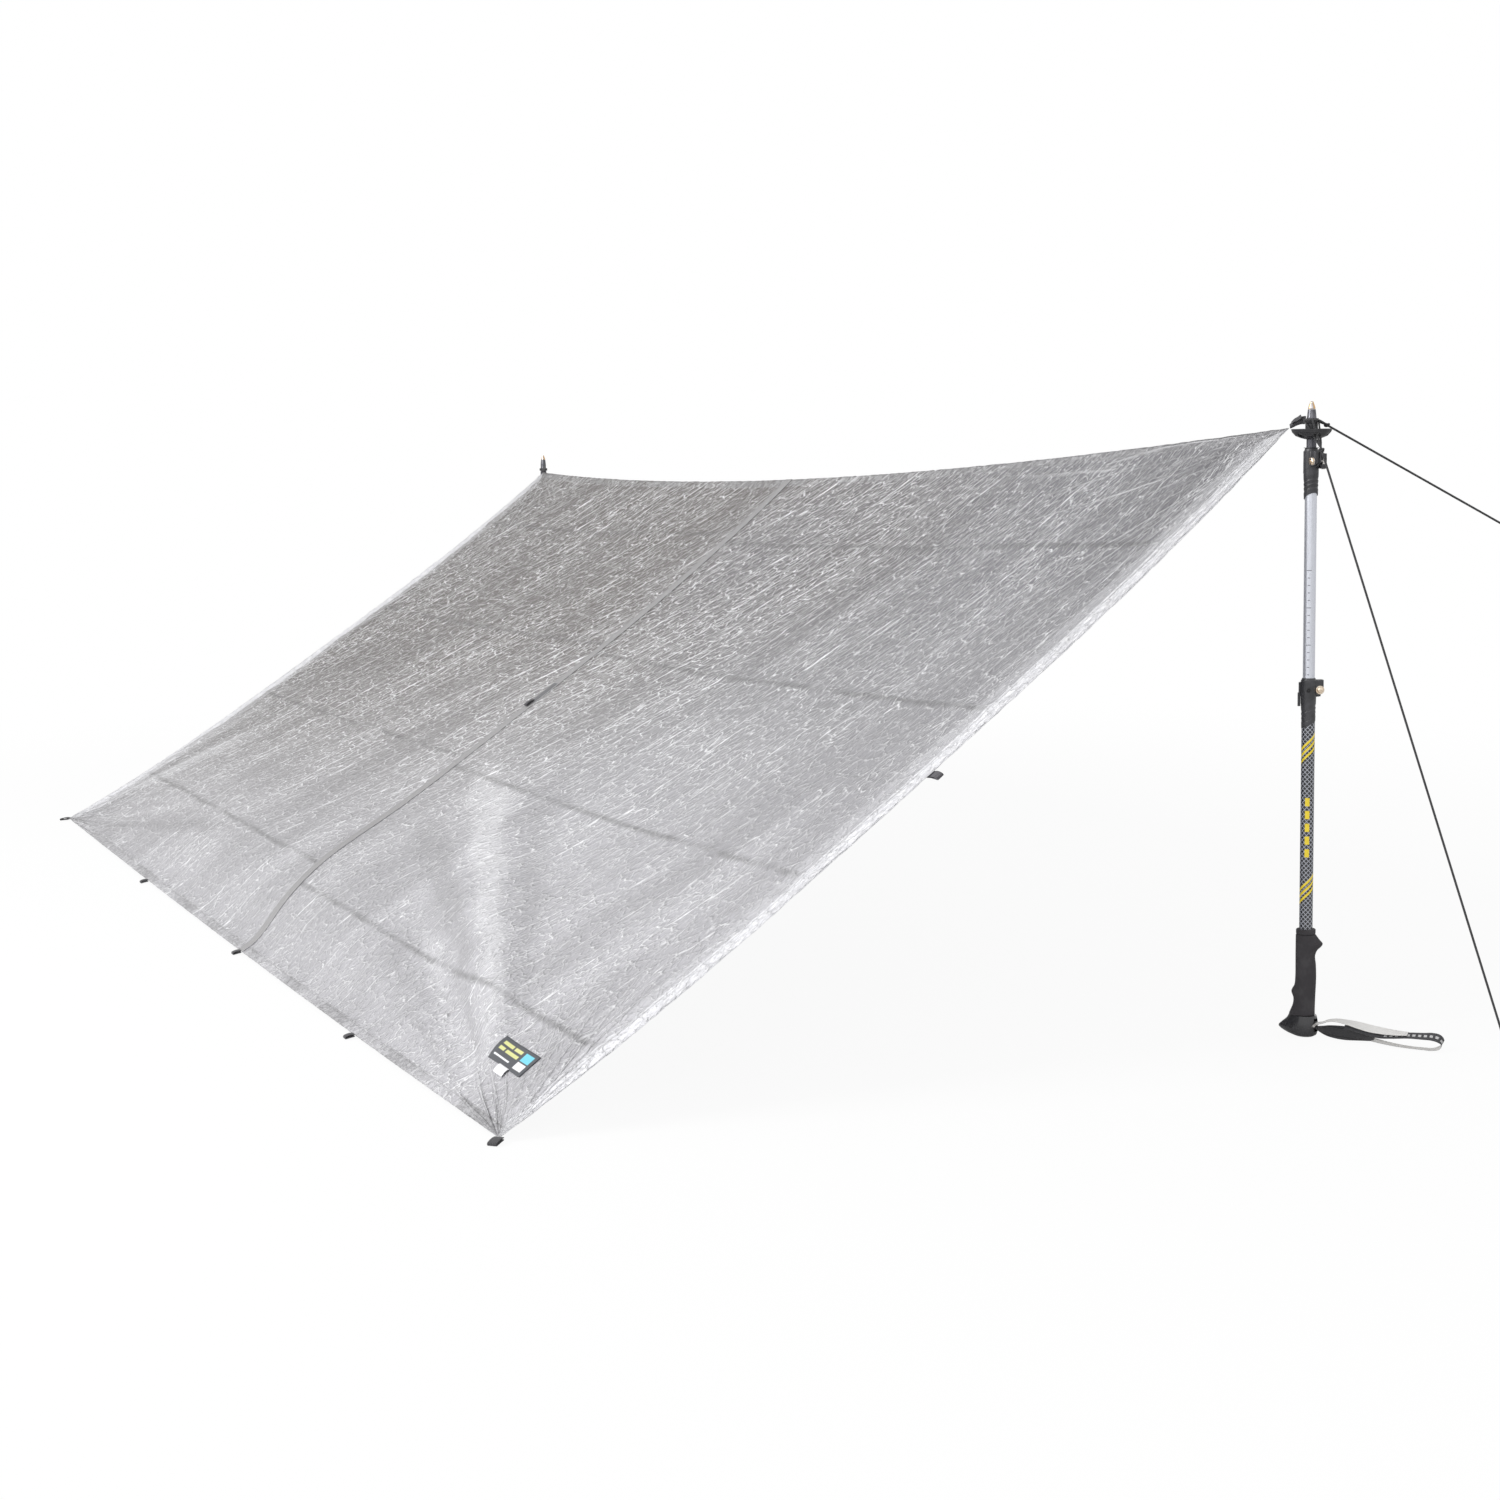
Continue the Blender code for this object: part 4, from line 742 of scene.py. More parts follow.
def clothMaterial(side):
    material, tree = newMaterial("silverLaminate_" + side, 0.5, coat=0.06, specular=0.4)
    cloth = placeMark(tree, "clothPlace")
    x, y, _ = parts(cloth)
    tone, cloud, sweep = parts(placeMark(tree, "foldShadeTone"))
    # painted shade: the base colour grows darker up the sheet and towards its left end, standing in for the light
    # that falls off up the slope; warmer at the upper left
    high = mix(ramp(plus(x, times(sweep, 0.5)), *clothRamps["warm"]), clothLook["shadedHighWarm"], clothLook["shadedHighCool"])
    shadeClimb = plus(y, times(minus(sheetLength / 2, x), clothLook["shadeClimb"]))
    base = mix(ramp(shadeClimb, 0.0, sheetWidth * clothLook["shadeClimbEnd"]), clothLook["low"], high)
    grain = noiseAt(cloth, 160.0, flat=True)["Fac"]
    layers = [  # how much, which tone
        (ramp(plus(cloud, times(sweep, 0.6)), *clothRamps["cloud"]), "dark"),
        # painted shade in the fold valleys and painted highlight on the fold ridges
        (ramp(tone, *clothRamps["pulled"]), "dark"),
        (ramp(tone, *clothRamps["foldRidgeHighlight"]), "line"),
        (ramp(grain, *clothRamps["grain"]), "dark"),
    ]
    height = times(grain, clothBumps["grain"])
    density = ramp(plus(cloud, tone), *clothRamps["density"])
    lines = []
    for number, (width, length, lean, wander, thin, along, bright, bump) in enumerate(clothCreases):
        made = useGroup(creases, Place=placeMark(tree, "streakPlace"), Width=width, Length=length, Lean=lean,
                        Wander=wander, Seed=11.3 * number, Thin=thin, Along=along)
        # painted shade beside each crease, and each crease line lighter: partly the laminate's whitened crease,
        # partly painted highlight
        layers.append((times(made["Side"], bright * clothShares["side"]), "dark"))
        layers.append((mathNode("MULTIPLY", made["Line"], times(density, bright), clamp=True), "line"))
        height = plus(height, times(made["Height"], bump))
        lines.append(made["Line"])
    turn, reach, pull = parts(placeMark(tree, "pullPlace"))
    rays = useGroup(creases, Place=joined(turn, reach), **clothRays)
    strength = times(pull, clothShares["rays"])
    # the same for the creases that fan out from the corners: painted shade beside them, their lines partly painted
    # highlight
    layers.append((times(rays["Side"], strength, clothShares["rayShadeSide"]), "dark"))
    layers.append((times(rays["Line"], strength), "line"))
    height = plus(height, times(rays["Height"], pull, clothBumps["rays"]))
    begin = 0.0 if side == "left" else 0.5
    folds = []
    for start, stop in packingFolds[side]:
        slope = (stop - start) * sheetWidth / (0.5 * sheetLength)
        folds.append(useGroup(foldLine, Place=cloth, Start=start * sheetWidth - slope * begin * sheetLength,
                              Slope=slope, Width=0.0095, Wander=0.006)["Line"])
    layers.append((times(larger(*folds), clothShares["folds"]), "fold"))
    nearSide = times(smaller(x, minus(sheetLength, x)), hemShare)
    nearEnd = smaller(y, minus(sheetWidth, y))
    edge = smaller(nearSide, nearEnd)
    wide = sheet["hemWidth"]
    hem = ramp(edge, wide - 0.001, wide + 0.001, 1.0, 0.0)
    behind = ramp(edge, wide * 1.7, wide * 2.1, 1.0, 0.0)
    shortSide = ramp(minus(nearEnd, nearSide), -0.001, 0.001)
    pucker = noiseAt(cloth, 75.0, flat=True)["Fac"]
    stretch = noiseAt(cloth, 5.0, detail=1.0, flat=True)["Fac"]
    glint = times(hem, ramp(pucker, *clothRamps["pucker"]))
    glintShare = ramp(shortSide, 0.0, 1.0, clothShares["longGlint"], clothShares["shortGlint"], smooth=False)
    seam = ramp(sizeOf(minus(edge, wide - sheet["seamInset"])), *clothRamps["seam"])
    layers += [
        (times(behind, shortSide, clothShares["behind"]), "hem"),
        (times(hem, shortSide, clothShares["hem"]), "hem"),
        (times(hem, minus(1.0, shortSide), ramp(stretch, *clothRamps["stretch"])), "hemShade"),
        (times(glint, glintShare), "line"),
        (times(seam, clothShares["seam"]), "dark"),
    ]
    for share, colour in layers:
        base = mix(share, base, clothLook[colour])
    height = plus(height, times(glint, clothBumps["glint"]))
    rough = ramp(larger(*lines), *clothRamps["rough"])
    finished(material, base, height, clothBumps["distance"], clothBumps["strength"], rough)
    glow = addNode(tree, "BsdfTranslucent")
    wire(base, glow.inputs["Color"])
    mixShaders(tree, clothLook["through"], glow)
    return material


def bendWithPole(piece):
    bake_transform(piece)


def makePanel(name, side, begin):
    us = hemLines(sheet["columns"], begin, begin + 0.5, sheetLength * hemShare, side == "left", side == "right")
    vs = hemLines(sheet["rows"], 0.0, 1.0, sheetWidth, True, True)
    v, u = np.meshgrid(vs, us, indexing="ij")
    panel = linkMesh(name, gridMesh(sheetSurface(u, v), sheetMarks(u, v)), clothMaterial(side), smoothAngle=0)
    thicken(panel, sheet["thickness"])
    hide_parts(side + "_panel")
    bendWithPole(panel)
    return panel


leftPanel = makePanel("leftPanel", "left", 0.0)
rightPanel = makePanel("rightPanel", "right", 0.5)
print("sheet made")


# layers laid on the sheet: the seam tape, the patch, the label and its ribbon
def makeLayer(name, node, us, vs, lift, thickness, material, marks=sheetMarks):
    v, u = np.meshgrid(vs, us, indexing="ij")
    surface = sheetSurface(u, v, lift(u, v) if callable(lift) else lift)
    piece = linkMesh(name, gridMesh(surface, marks(u, v)), material, smoothAngle=0)
    thicken(piece, thickness)
    return standFor(piece, node)


tape = {"width": 0.028, "lift": 0.0012, "thickness": 0.0005, "colour": (0.26, 0.256, 0.26),
        "glint": (0.6, 0.6, 0.62), "edge": (0.7, 0.7, 0.72), "edgeWidth": 0.0016,
        "creaseShare": 0.22, "edgeHighlightShare": 0.5}


def tapeMaterial():
    material, tree = newMaterial("seamTape", 0.55)
    cloth = placeMark(tree, "clothPlace")
    lines = useGroup(creases, Place=cloth, Width=0.014, Length=0.04, Wander=0.8)
    base = mix(times(lines["Line"], tape["creaseShare"]), tape["colour"], tape["glint"])
    # painted highlight: a lighter strip along the tape's edge towards the right panel
    away = minus(sheetLength / 2 + tape["width"] / 2, parts(cloth)[0])
    base = mix(times(ramp(away, 0.0, tape["edgeWidth"], 1.0, 0.0), tape["edgeHighlightShare"]), base, tape["edge"])
    return finished(material, base, lines["Height"], 0.0012, 0.5)


tapeShare = tape["width"] / 2 / sheetLength
seamTape = makeLayer("centreSeamTape", "centre_seam_tape", np.linspace(0.5 - tapeShare, 0.5 + tapeShare, 9),
                     np.linspace(0, 1, 330), tape["lift"], tape["thickness"], tapeMaterial())
print("seam tape laid")


def weaveMix(weave, low, high):
    return mix(ramp(weave["Tone"], 0.0, weaveShape["toneEnd"]), low, high)


def webbingMaterial(name, colour, tint):
    material, tree = newMaterial(name, 0.78, sheen=0.15)
    weave = useGroup(webbingWeave, Place=placeMark(tree, "webPlace"))
    return finished(material, weaveMix(weave, tuple(c * 0.55 for c in colour), tint), weave["Height"], 0.0005, 0.8)


blackWebbing = webbingMaterial("blackWebbing", (0.02, 0.019, 0.022), (0.075, 0.073, 0.08))
greyWebbing = webbingMaterial("greyWebbing", (0.055, 0.052, 0.06), (0.135, 0.13, 0.145))


# band: a strap of given width and thickness along a path
def bandMesh(path, sideWays, width, thickness, closed=False):
    path = np.asarray(path, float)
    tangent = tangentsOf(path, closed)
    sideWays = np.broadcast_to(np.asarray(sideWays, float), path.shape)
    sideWays = sideWays - (sideWays * tangent).sum(1)[:, None] * tangent
    sideWays /= np.linalg.norm(sideWays, axis=1, keepdims=True)
    normal = np.cross(tangent, sideWays)
    widths = np.broadcast_to(width, (len(path),))
    half = [(share, 0.5) for share in (-0.42, -0.25, 0.0, 0.25, 0.42)] + [(0.49, 0.3), (0.5, 0.0), (0.49, -0.3)]
    section = half + [(-across, -deep) for across, deep in half]
    length = lengthsAlong(path)
    rings = np.zeros((len(path), len(section), 3))
    marks = np.zeros_like(rings)
    for j, (across, deep) in enumerate(section):
        rings[:, j] = path + sideWays * (widths * across)[:, None] + normal * (thickness * deep)
        marks[:, j] = pack(length, widths * across, thickness * deep)
    return ringMesh(rings, {"webPlace": marks}, closed)


def frameOn(origin, outward, up):
    xAxis = Vector(outward).normalized()
    yAxis = Vector(up).cross(xAxis).normalized()
    zAxis = xAxis.cross(yAxis).normalized()
    return axesAt(origin, xAxis, yAxis, zAxis)


loops = {
    "thickness": 0.0017, "edgeWidth": 0.011, "edgeLength": 0.014, "cornerWidth": 0.013, "cornerLength": 0.02,
    "centreWidth": 0.011, "centreLength": 0.018, "eye": 0.0016, "groundHeight": 0.0043, "tabDrop": 0.0021,
    "droop": 0.0026, "tab": 0.018, "underInset": 0.007, "frontPlaces": (0.25, 0.5, 0.75), "sidePlace": 0.52,
}


def loopPath(length, tab):  # a tab of two layers that opens into an eye, in X and Z
    half = loops["thickness"] / 2
    points = []
    if tab:
        points += [(x, 0.0, half + 0.0001) for x in np.linspace(-tab, -tab * 0.15, 6)]
    for i in range(21):
        angle = math.pi * i / 20
        reach = 0.5 - 0.5 * math.cos(angle)
        swell = math.sin(angle) ** 0.8 if 0 < i < 20 else 0.0
        points.append((reach * (length - half) * 0.999, 0.0, half + 0.0001 + loops["eye"] / 2 * swell))
    points.append((length - half * 0.6, 0.0, 0.0))
    points += [(x, y, -z) for x, y, z in points[-2::-1]]
    return [(x, y, z - loops["droop"] * max(0.0, x / length) ** 2) for x, y, z in points]


def makeLoop(name, node, matrix, kind="edge", pole=None, tab=0.0, material=blackWebbing):
    mesh = bandMesh(loopPath(loops[kind + "Length"], tab), (0.0, 1.0, 0.0), loops[kind + "Width"], loops["thickness"])
    piece = linkMesh(name, mesh, material, matrix=matrix)
    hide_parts(node)
    if pole:
        bendWithPole(piece)
    else:
        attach(piece, "root")


def at(u, v, lift=0.0):
    return Vector(sheetSurface(np.array([u]), np.array([v]), lift, fine=0.0)[0])


def normalAt(u, v):
    return Vector(sheetNormal(np.array([u]), np.array([v]))[0])


def groundFrame(u, corner):
    outward = Vector((-corner, -1.0, 0.0)).normalized()
    start = at(u, 0.0) + outward * 0.0003
    start.z = loops["groundHeight"]
    return frameOn(start, outward, (0, 0, 1))


def hangingFrame(u, v, edge):  # under the sheet, by its edge
    normal = normalAt(u, v)
    return frameOn(at(u, v) - normal * 0.0015, -normal, normal.cross(Vector(edge)))


def makeLoops():
    insetU = loops["underInset"] / sheetLength
    insetV = loops["underInset"] / sheetWidth
    for number, (u, pole) in enumerate(zip(loops["frontPlaces"], ("left", None, "right")), 1):
        makeLoop(f"frontLoop{number}", f"front_loop_{number}", groundFrame(u, 0.0))
        makeLoop(f"backLoop{number}", f"back_loop_{number}", hangingFrame(u, 1 - insetV, backRight - backLeft),
                 pole=pole)
    makeLoop("frontLeftCornerLoop", "front_left_corner_loop", groundFrame(0.0, 1.0), "corner")
    makeLoop("frontRightCornerLoop", "front_right_corner_loop", groundFrame(1.0, -1.0), "corner")
    makeLoop("leftEdgeLoop", "left_edge_loop", hangingFrame(insetU, loops["sidePlace"], backLeft - frontLeft),
             pole="left")
    edge, normal = at(1.0, loops["sidePlace"]), normalAt(1.0, loops["sidePlace"])
    outward = edge - at(1.0 - insetU, loops["sidePlace"])
    start = edge - normal * (loops["tabDrop"] + loops["thickness"])
    makeLoop("rightEdgeLoop", "right_edge_loop", frameOn(start, outward, normal), pole="right", tab=loops["tab"],
             material=greyWebbing)


makeLoops()
print("loops sewn on")


# label: a plain woven patch with coloured blocks, and the ribbon under it
label = {"upSlope": 0.083, "width": 0.11, "height": 0.039, "sideOffset": 0.108, "lift": 0.0013,
         "thickness": 0.0007, "tagWidth": 0.03, "tagHeight": 0.013, "tagShare": 0.4, "tagLift": 0.0021,
         "ground": (0.052, 0.056, 0.066), "yellow": (0.66, 0.66, 0.27), "white": (0.86, 0.86, 0.88),
         "blue": (0.16, 0.6, 0.74)}


def uAt(x, v):
    low, high = 0.0, 1.0
    for _ in range(40):
        middle = (low + high) / 2
        if flatSheet(np.array([middle]), np.array([v]))[0][0] < x:
            low = middle
        else:
            high = middle
    return (low + high) / 2


labelLow = label["upSlope"] / sheetWidth
labelHigh = labelLow + label["height"] / sheetWidth
labelLeft = uAt(frontRight[0] - label["sideOffset"] - label["width"], labelHigh)
labelRight = uAt(frontRight[0] - label["sideOffset"], labelHigh)
tagLow = labelLow - label["tagHeight"] / sheetWidth
tagLeft = labelLeft + (labelRight - labelLeft) * label["tagShare"]
tagRight = tagLeft + (labelRight - labelLeft) * label["tagWidth"] / label["width"]


def labelMarks(u, v):  # 0 to 1 across and up the label
    across = (u - labelLeft) / (labelRight - labelLeft)
    up = (v - labelLow) / (labelHigh - labelLow)
    return {"labelPlace": pack(across, up, 0.0), **sheetMarks(u, v)}


labelBlocks = (  # colour, left and right, bottom and top
    ("yellow", 0.08, 0.34, 0.7, 0.84), ("yellow", 0.38, 0.6, 0.7, 0.84), ("yellow", 0.08, 0.22, 0.46, 0.6),
    ("yellow", 0.26, 0.6, 0.46, 0.6), ("white", 0.08, 0.52, 0.2, 0.27), ("white", 0.68, 0.92, 0.14, 0.44),
    ("blue", 0.68, 0.92, 0.5, 0.86),
)


def threadsOf(tree, way, scale):
    threads = addNode(tree, "TexWave", wave_type="BANDS", bands_direction=way)
    threads.inputs["Scale"].default_value = scale
    wire(placeMark(tree, "clothPlace"), threads.inputs["Vector"])
    return threads.outputs["Fac"]


def labelMaterial():
    material, tree = newMaterial("labelCloth", 0.62)
    x, y, _ = parts(placeMark(tree, "labelPlace"))
    base = label["ground"]
    for colour, left, right, low, high in labelBlocks:
        base = mix(times(within(x, left, right, 0.003), within(y, low, high, 0.01)), base, label[colour])
    threads = threadsOf(tree, "X", 500.0)
    base = mix(ramp(threads, 0.0, 1.0, 0.0, 0.12), base, (0.3, 0.3, 0.3))
    return finished(material, base, threads, 0.0002, 0.6)


def tagMaterial():
    material, tree = newMaterial("ribbonCloth", 0.55)
    threads = threadsOf(tree, "Y", 420.0)
    return finished(material, mix(threads, (0.8, 0.8, 0.82), (0.88, 0.88, 0.9)), threads, 0.0002, 0.5)


labelPatch = makeLayer("labelPatch", "label_patch", np.linspace(labelLeft, labelRight, 40),
                       np.linspace(labelLow, labelHigh, 18), label["lift"], label["thickness"], labelMaterial(),
                       labelMarks)
careTag = makeLayer("careTag", "care_tag", np.linspace(tagLeft, tagRight, 14),
                    np.linspace(tagLow, labelLow + 0.001, 8),
                    lambda u, v: label["tagLift"] + 0.0012 * np.sin((v - tagLow) / (labelLow - tagLow) * 3.0),
                    0.0003, tagMaterial(), labelMarks)
print("label sewn on")


# centre loop on its patch
centre = {"place": 0.545, "patchWidth": 0.017, "patchHeight": 0.062, "patchLift": 0.0018, "patchThickness": 0.0008,
          "loopShare": 0.13, "loopStand": 0.25}


def patchMaterial():
    material, tree = newMaterial("patchCloth", 0.6)
    weave = useGroup(webbingWeave, Place=placeMark(tree, "clothPlace"), Pitch=0.0011, Rib=0.0011)
    base = weaveMix(weave, (0.075, 0.075, 0.08), (0.17, 0.17, 0.18))
    return finished(material, base, weave["Height"], 0.0003, 0.7)


patchShare = centre["patchWidth"] / 2 / sheetLength
patchLow = centre["place"] - centre["patchHeight"] / 2 / sheetWidth
patchHigh = centre["place"] + centre["patchHeight"] / 2 / sheetWidth
centrePatch = makeLayer("centreLoopPatch", "centre_loop_patch", np.linspace(0.5 - patchShare, 0.5 + patchShare, 8),
                        np.linspace(patchLow, patchHigh, 26), centre["patchLift"], centre["patchThickness"],
                        patchMaterial())
loopV = patchLow + centre["loopShare"] * (patchHigh - patchLow)
upSheet = Vector(sheetSurface(0.5, 0.6) - sheetSurface(0.5, 0.5)).normalized()
loopOut = normalAt(0.5, loopV) * centre["loopStand"] - upSheet
loopFrame = frameOn(at(0.5, loopV, centre["patchLift"] + 0.001), loopOut, normalAt(0.5, loopV))
makeLoop("centreLoop", "centre_loop", loopFrame, "centre")
print("centre loop made")


# poles: turned tubes and moulded parts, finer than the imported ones
poles = {
    "right": {"x": 0.0, "height": 0.861, "handleClamp": 0.429, "tipClamp": 0.735},
    "left": {"x": -3.064, "height": 0.774, "handleClamp": 0.429, "tipClamp": 0.648},
}
tubes = {
    "sides": 64, "shaftRadius": 0.009, "shaftFoot": 0.012, "shaftBore": 0.0083, "seatDepth": 0.03,
    "middleRadius": 0.008, "middleBore": 0.0069, "middleInsert": 0.1, "clampHeight": 0.063,
    "tipRadius": 0.0066, "tipInsert": 0.07, "ferruleDrop": 0.05, "threadRadius": 0.0074,
    "threadFrom": 0.0009, "threadTo": 0.012, "threadTurns": 5, "neckRadius": 0.0064, "shoulderDrop": 0.021,
    "topRadius": 0.0051, "capDrop": 0.0105, "capGap": 0.0003, "capRadius": 0.0048,
    "capRows": ((0.0, 0.97), (0.08, 1.0), (0.2, 0.96), (0.52, 0.76), (0.8, 0.52), (0.94, 0.42), (1.0, 0.22)),
}
bearings = {"strap": 35.0, "handleClamp": 66.0, "tipClamp": -4.0}


def standFrame(side, bearing=0.0, height=0.0):
    turn = Matrix.Rotation(math.radians(bearing), 4, "Z")
    return Matrix.Translation((poles[side]["x"], 0.0, height)) @ turn


def turnedPiece(name, side, profile, material, node, body="root", closed=False, smoothAngle=30.0):
    rings = turnedRings(profile, tubes["sides"])
    mesh = ringMesh(rings, {"polePlace": rings}, closed)
    standFor(linkMesh(side + name, mesh, material, smoothAngle, standFrame(side)), f"{side}_{node}", body)


def smoothRows(rows, count):  # rows of values against their first column, made finer
    rows = np.asarray(rows, float)
    at0 = rows[:, 0]
    slopes = np.gradient(rows, at0, axis=0)
    found = []
    for share in np.linspace(at0[0], at0[-1], count):
        i = min(max(int(np.searchsorted(at0, share, side="right")) - 1, 0), len(at0) - 2)
        span = at0[i + 1] - at0[i]
        t = (share - at0[i]) / span
        a = 2 * t ** 3 - 3 * t ** 2 + 1
        b = t ** 3 - 2 * t ** 2 + t
        d = t ** 3 - t ** 2
        found.append(a * rows[i] + b * span * slopes[i] + (1 - a) * rows[i + 1] + d * span * slopes[i + 1])
    return np.array(found)


def cutAway(piece, cutters):
    for cutter in cutters:
        step = piece.modifiers.new("cut", "BOOLEAN")
        step.operation = "DIFFERENCE"
        step.solver = "EXACT"
        step.object = cutter
    bpy.context.view_layer.update()
    cut = bpy.data.meshes.new_from_object(piece.evaluated_get(bpy.context.evaluated_depsgraph_get()))
    piece.modifiers.clear()
    piece.data = cut
    cut.set_sharp_from_angle(angle=math.radians(35))
    for cutter in cutters:
        bpy.data.objects.remove(cutter)


def cutterPiece(mesh, matrix):
    mesh.transform(matrix)
    cutter = bpy.data.objects.new("cutter", mesh)
    bpy.context.scene.collection.objects.link(cutter)
    return cutter


def crossRings(profile, sides):  # turned about local Y
    return turnedRings(profile, sides)[:, :, [0, 2, 1]]


def crossRod(radius, length, matrix):
    return cutterPiece(ringMesh(crossRings([(radius, -length / 2), (radius, length / 2)], 24)), matrix)


def mouldedMaterial(name, colour, rubbed, roughness, scale, bump, coat=0.0):
    material, tree = newMaterial(name, roughness, coat=coat)
    grain = useGroup(mouldedGrain, Place=objectPlace(tree), Scale=scale)
    rough = ramp(grain["Rubbed"], 0.0, 1.0, roughness, roughness * 0.78)
    return finished(material, mix(times(grain["Rubbed"], 0.6), colour, rubbed), grain["Height"], bump, 0.7, rough)


def steelMaterial(name, colour, tint, roughness):
    material, tree = newMaterial(name, roughness, metallic=1.0)
    grain = useGroup(mouldedGrain, Place=objectPlace(tree), Scale=1400.0)
    rough = ramp(grain["Height"], 0.3, 0.7, roughness * 0.8, roughness * 1.3)
    return finished(material, mix(grain["Rubbed"], colour, tint), grain["Height"], 0.00005, 0.3, rough)


clampPlastic = mouldedMaterial("clampPlastic", (0.036, 0.036, 0.04), (0.078, 0.078, 0.086), 0.4, 1500.0, 0.00008)
gripPlastic = mouldedMaterial("gripPlastic", (0.026, 0.026, 0.029), (0.046, 0.045, 0.05), 0.3, 1100.0, 0.00006,
                              coat=0.5)
basketPlastic = mouldedMaterial("basketPlastic", (0.014, 0.014, 0.016), (0.04, 0.04, 0.044), 0.4, 1200.0, 0.00008)
foamRubber = mouldedMaterial("foamRubber", (0.044, 0.041, 0.045), (0.05, 0.047, 0.051), 0.92, 1700.0, 0.00022)
brightSteel = steelMaterial("brightSteel", (0.62, 0.6, 0.58), (0.74, 0.72, 0.69), 0.24)
warmSteel = steelMaterial("warmSteel", (0.78, 0.62, 0.46), (0.86, 0.78, 0.66), 0.26)


def poleTurn(tree):  # the angle round the pole and the height
    x, y, height = parts(placeMark(tree, "polePlace"))
    return mathNode("ARCTAN2", y, x), height


woven = {
    "round": 9, "pitch": 0.0064, "strandHalf": 0.085, "dark": (0.012, 0.013, 0.017), "light": (0.52, 0.54, 0.6),
    "knot": (0.16, 0.17, 0.21), "stripe": (0.95, 0.72, 0.02), "face": -0.63, "stripeSlope": 0.0085,
    "stripeHalf": 0.002, "stripeTurn": 1.75, "stripes": (0.388, 0.3965, 0.405, 0.196, 0.2045, 0.213),
    "barFirst": 0.254, "barStep": 0.0175, "bars": 5, "barHalf": 0.0056, "barTurn": 0.34,
    "strandSoft": 0.03, "knotShare": 0.35, "printSoft": 0.0003, "stripeTurnSoft": 0.05, "barTurnSoft": 0.03,
}


def wovenMaterial():
    material, tree = newMaterial("wovenShaft", 0.3, coat=0.5)
    turn, height = poleTurn(tree)
    around = times(turn, woven["round"] / (2 * math.pi))
    rise = over(height, woven["pitch"])
    strands = [spot(partOf(way(around, rise)), 0.5, woven["strandHalf"], woven["strandSoft"])
               for way in (plus, minus)]
    lattice = larger(*strands)
    base = mix(lattice, woven["dark"], woven["light"])
    base = mix(times(*strands, woven["knotShare"]), base, woven["knot"])
    facing = minus(turn, woven["face"])
    leaned = minus(height, times(facing, woven["stripeSlope"]))
    soft = woven["printSoft"]
    stripes = larger(*(spot(leaned, place, woven["stripeHalf"], soft) for place in woven["stripes"]))
    printed = [times(stripes, spot(facing, 0.0, woven["stripeTurn"], woven["stripeTurnSoft"]))]
    for number in range(woven["bars"]):
        bar = spot(height, woven["barFirst"] + woven["barStep"] * number, woven["barHalf"], soft)
        printed.append(times(bar, spot(facing, 0.0, woven["barTurn"], woven["barTurnSoft"])))
    printed = larger(*printed)
    base = mix(printed, base, woven["stripe"])
    return finished(material, base, lattice, 0.0001, 0.5, ramp(printed, 0.0, 1.0, 0.3, 0.42))


scaleMarks = {"turn": -0.76, "from": 0.4968, "step": 0.01, "count": 15, "long": 5, "shortHalf": 0.2,
              "longHalf": 0.4, "thick": 0.00045, "soft": 0.0002, "endSoft": 0.03, "ink": (0.1, 0.1, 0.13)}


def bareTubeMaterial():
    material, tree = newMaterial("bareTube", 0.3, metallic=0.72)
    turn, height = poleTurn(tree)
    brushed = noiseAt(joined(times(turn, 26.0), times(height, 34.0)), 1.0, detail=3.0)["Fac"]
    base = mix(brushed, (0.66, 0.68, 0.75), (0.8, 0.82, 0.88))
    marks = []
    for number in range(scaleMarks["count"]):
        half = scaleMarks["longHalf"] if number % scaleMarks["long"] == 4 else scaleMarks["shortHalf"]
        line = spot(height, scaleMarks["from"] + number * scaleMarks["step"], scaleMarks["thick"],
                    scaleMarks["soft"])
        marks.append(times(line, spot(turn, scaleMarks["turn"], half, scaleMarks["endSoft"])))
    ink = larger(*marks)
    wire(ramp(ink, 0.0, 1.0, 0.72, 0.1, smooth=False), tree.nodes["Principled BSDF"].inputs["Metallic"])
    base = mix(ink, base, scaleMarks["ink"])
    return finished(material, base, brushed, 0.00003, 0.5, ramp(brushed, 0.3, 0.7, 0.26, 0.38))


def darkTubeMaterial():
    material, tree = newMaterial("darkTube", 0.3, metallic=0.55, coat=0.2)
    _, height = poleTurn(tree)
    grain = useGroup(mouldedGrain, Place=placeMark(tree, "polePlace"), Scale=1300.0)
    turned = times(sineOf(times(height, 2 * math.pi / 0.0011)), 0.25)
    base = mix(grain["Rubbed"], (0.085, 0.085, 0.098), (0.16, 0.16, 0.18))
    rough = ramp(grain["Rubbed"], 0.0, 1.0, 0.32, 0.24)
    return finished(material, base, plus(grain["Height"], turned), 0.00005, 0.4, rough)


def capMaterial():
    material, tree = newMaterial("tipMetal", 0.22, metallic=1.0)
    turn, _ = poleTurn(tree)
    grain = useGroup(mouldedGrain, Place=placeMark(tree, "polePlace"), Scale=1600.0)
    # painted reflection: the side that faces the camera is silver, the rest gold
    base = mix(spot(turn, -0.63, 0.45, 0.25), (0.6, 0.37, 0.15), (0.46, 0.45, 0.47))
    base = mix(times(grain["Rubbed"], 0.3), base, (0.55, 0.5, 0.46))
    return finished(material, base, grain["Height"], 0.00004, 0.4)


wovenShaft = wovenMaterial()
bareTube = bareTubeMaterial()
darkTube = darkTubeMaterial()
tipMetal = capMaterial()


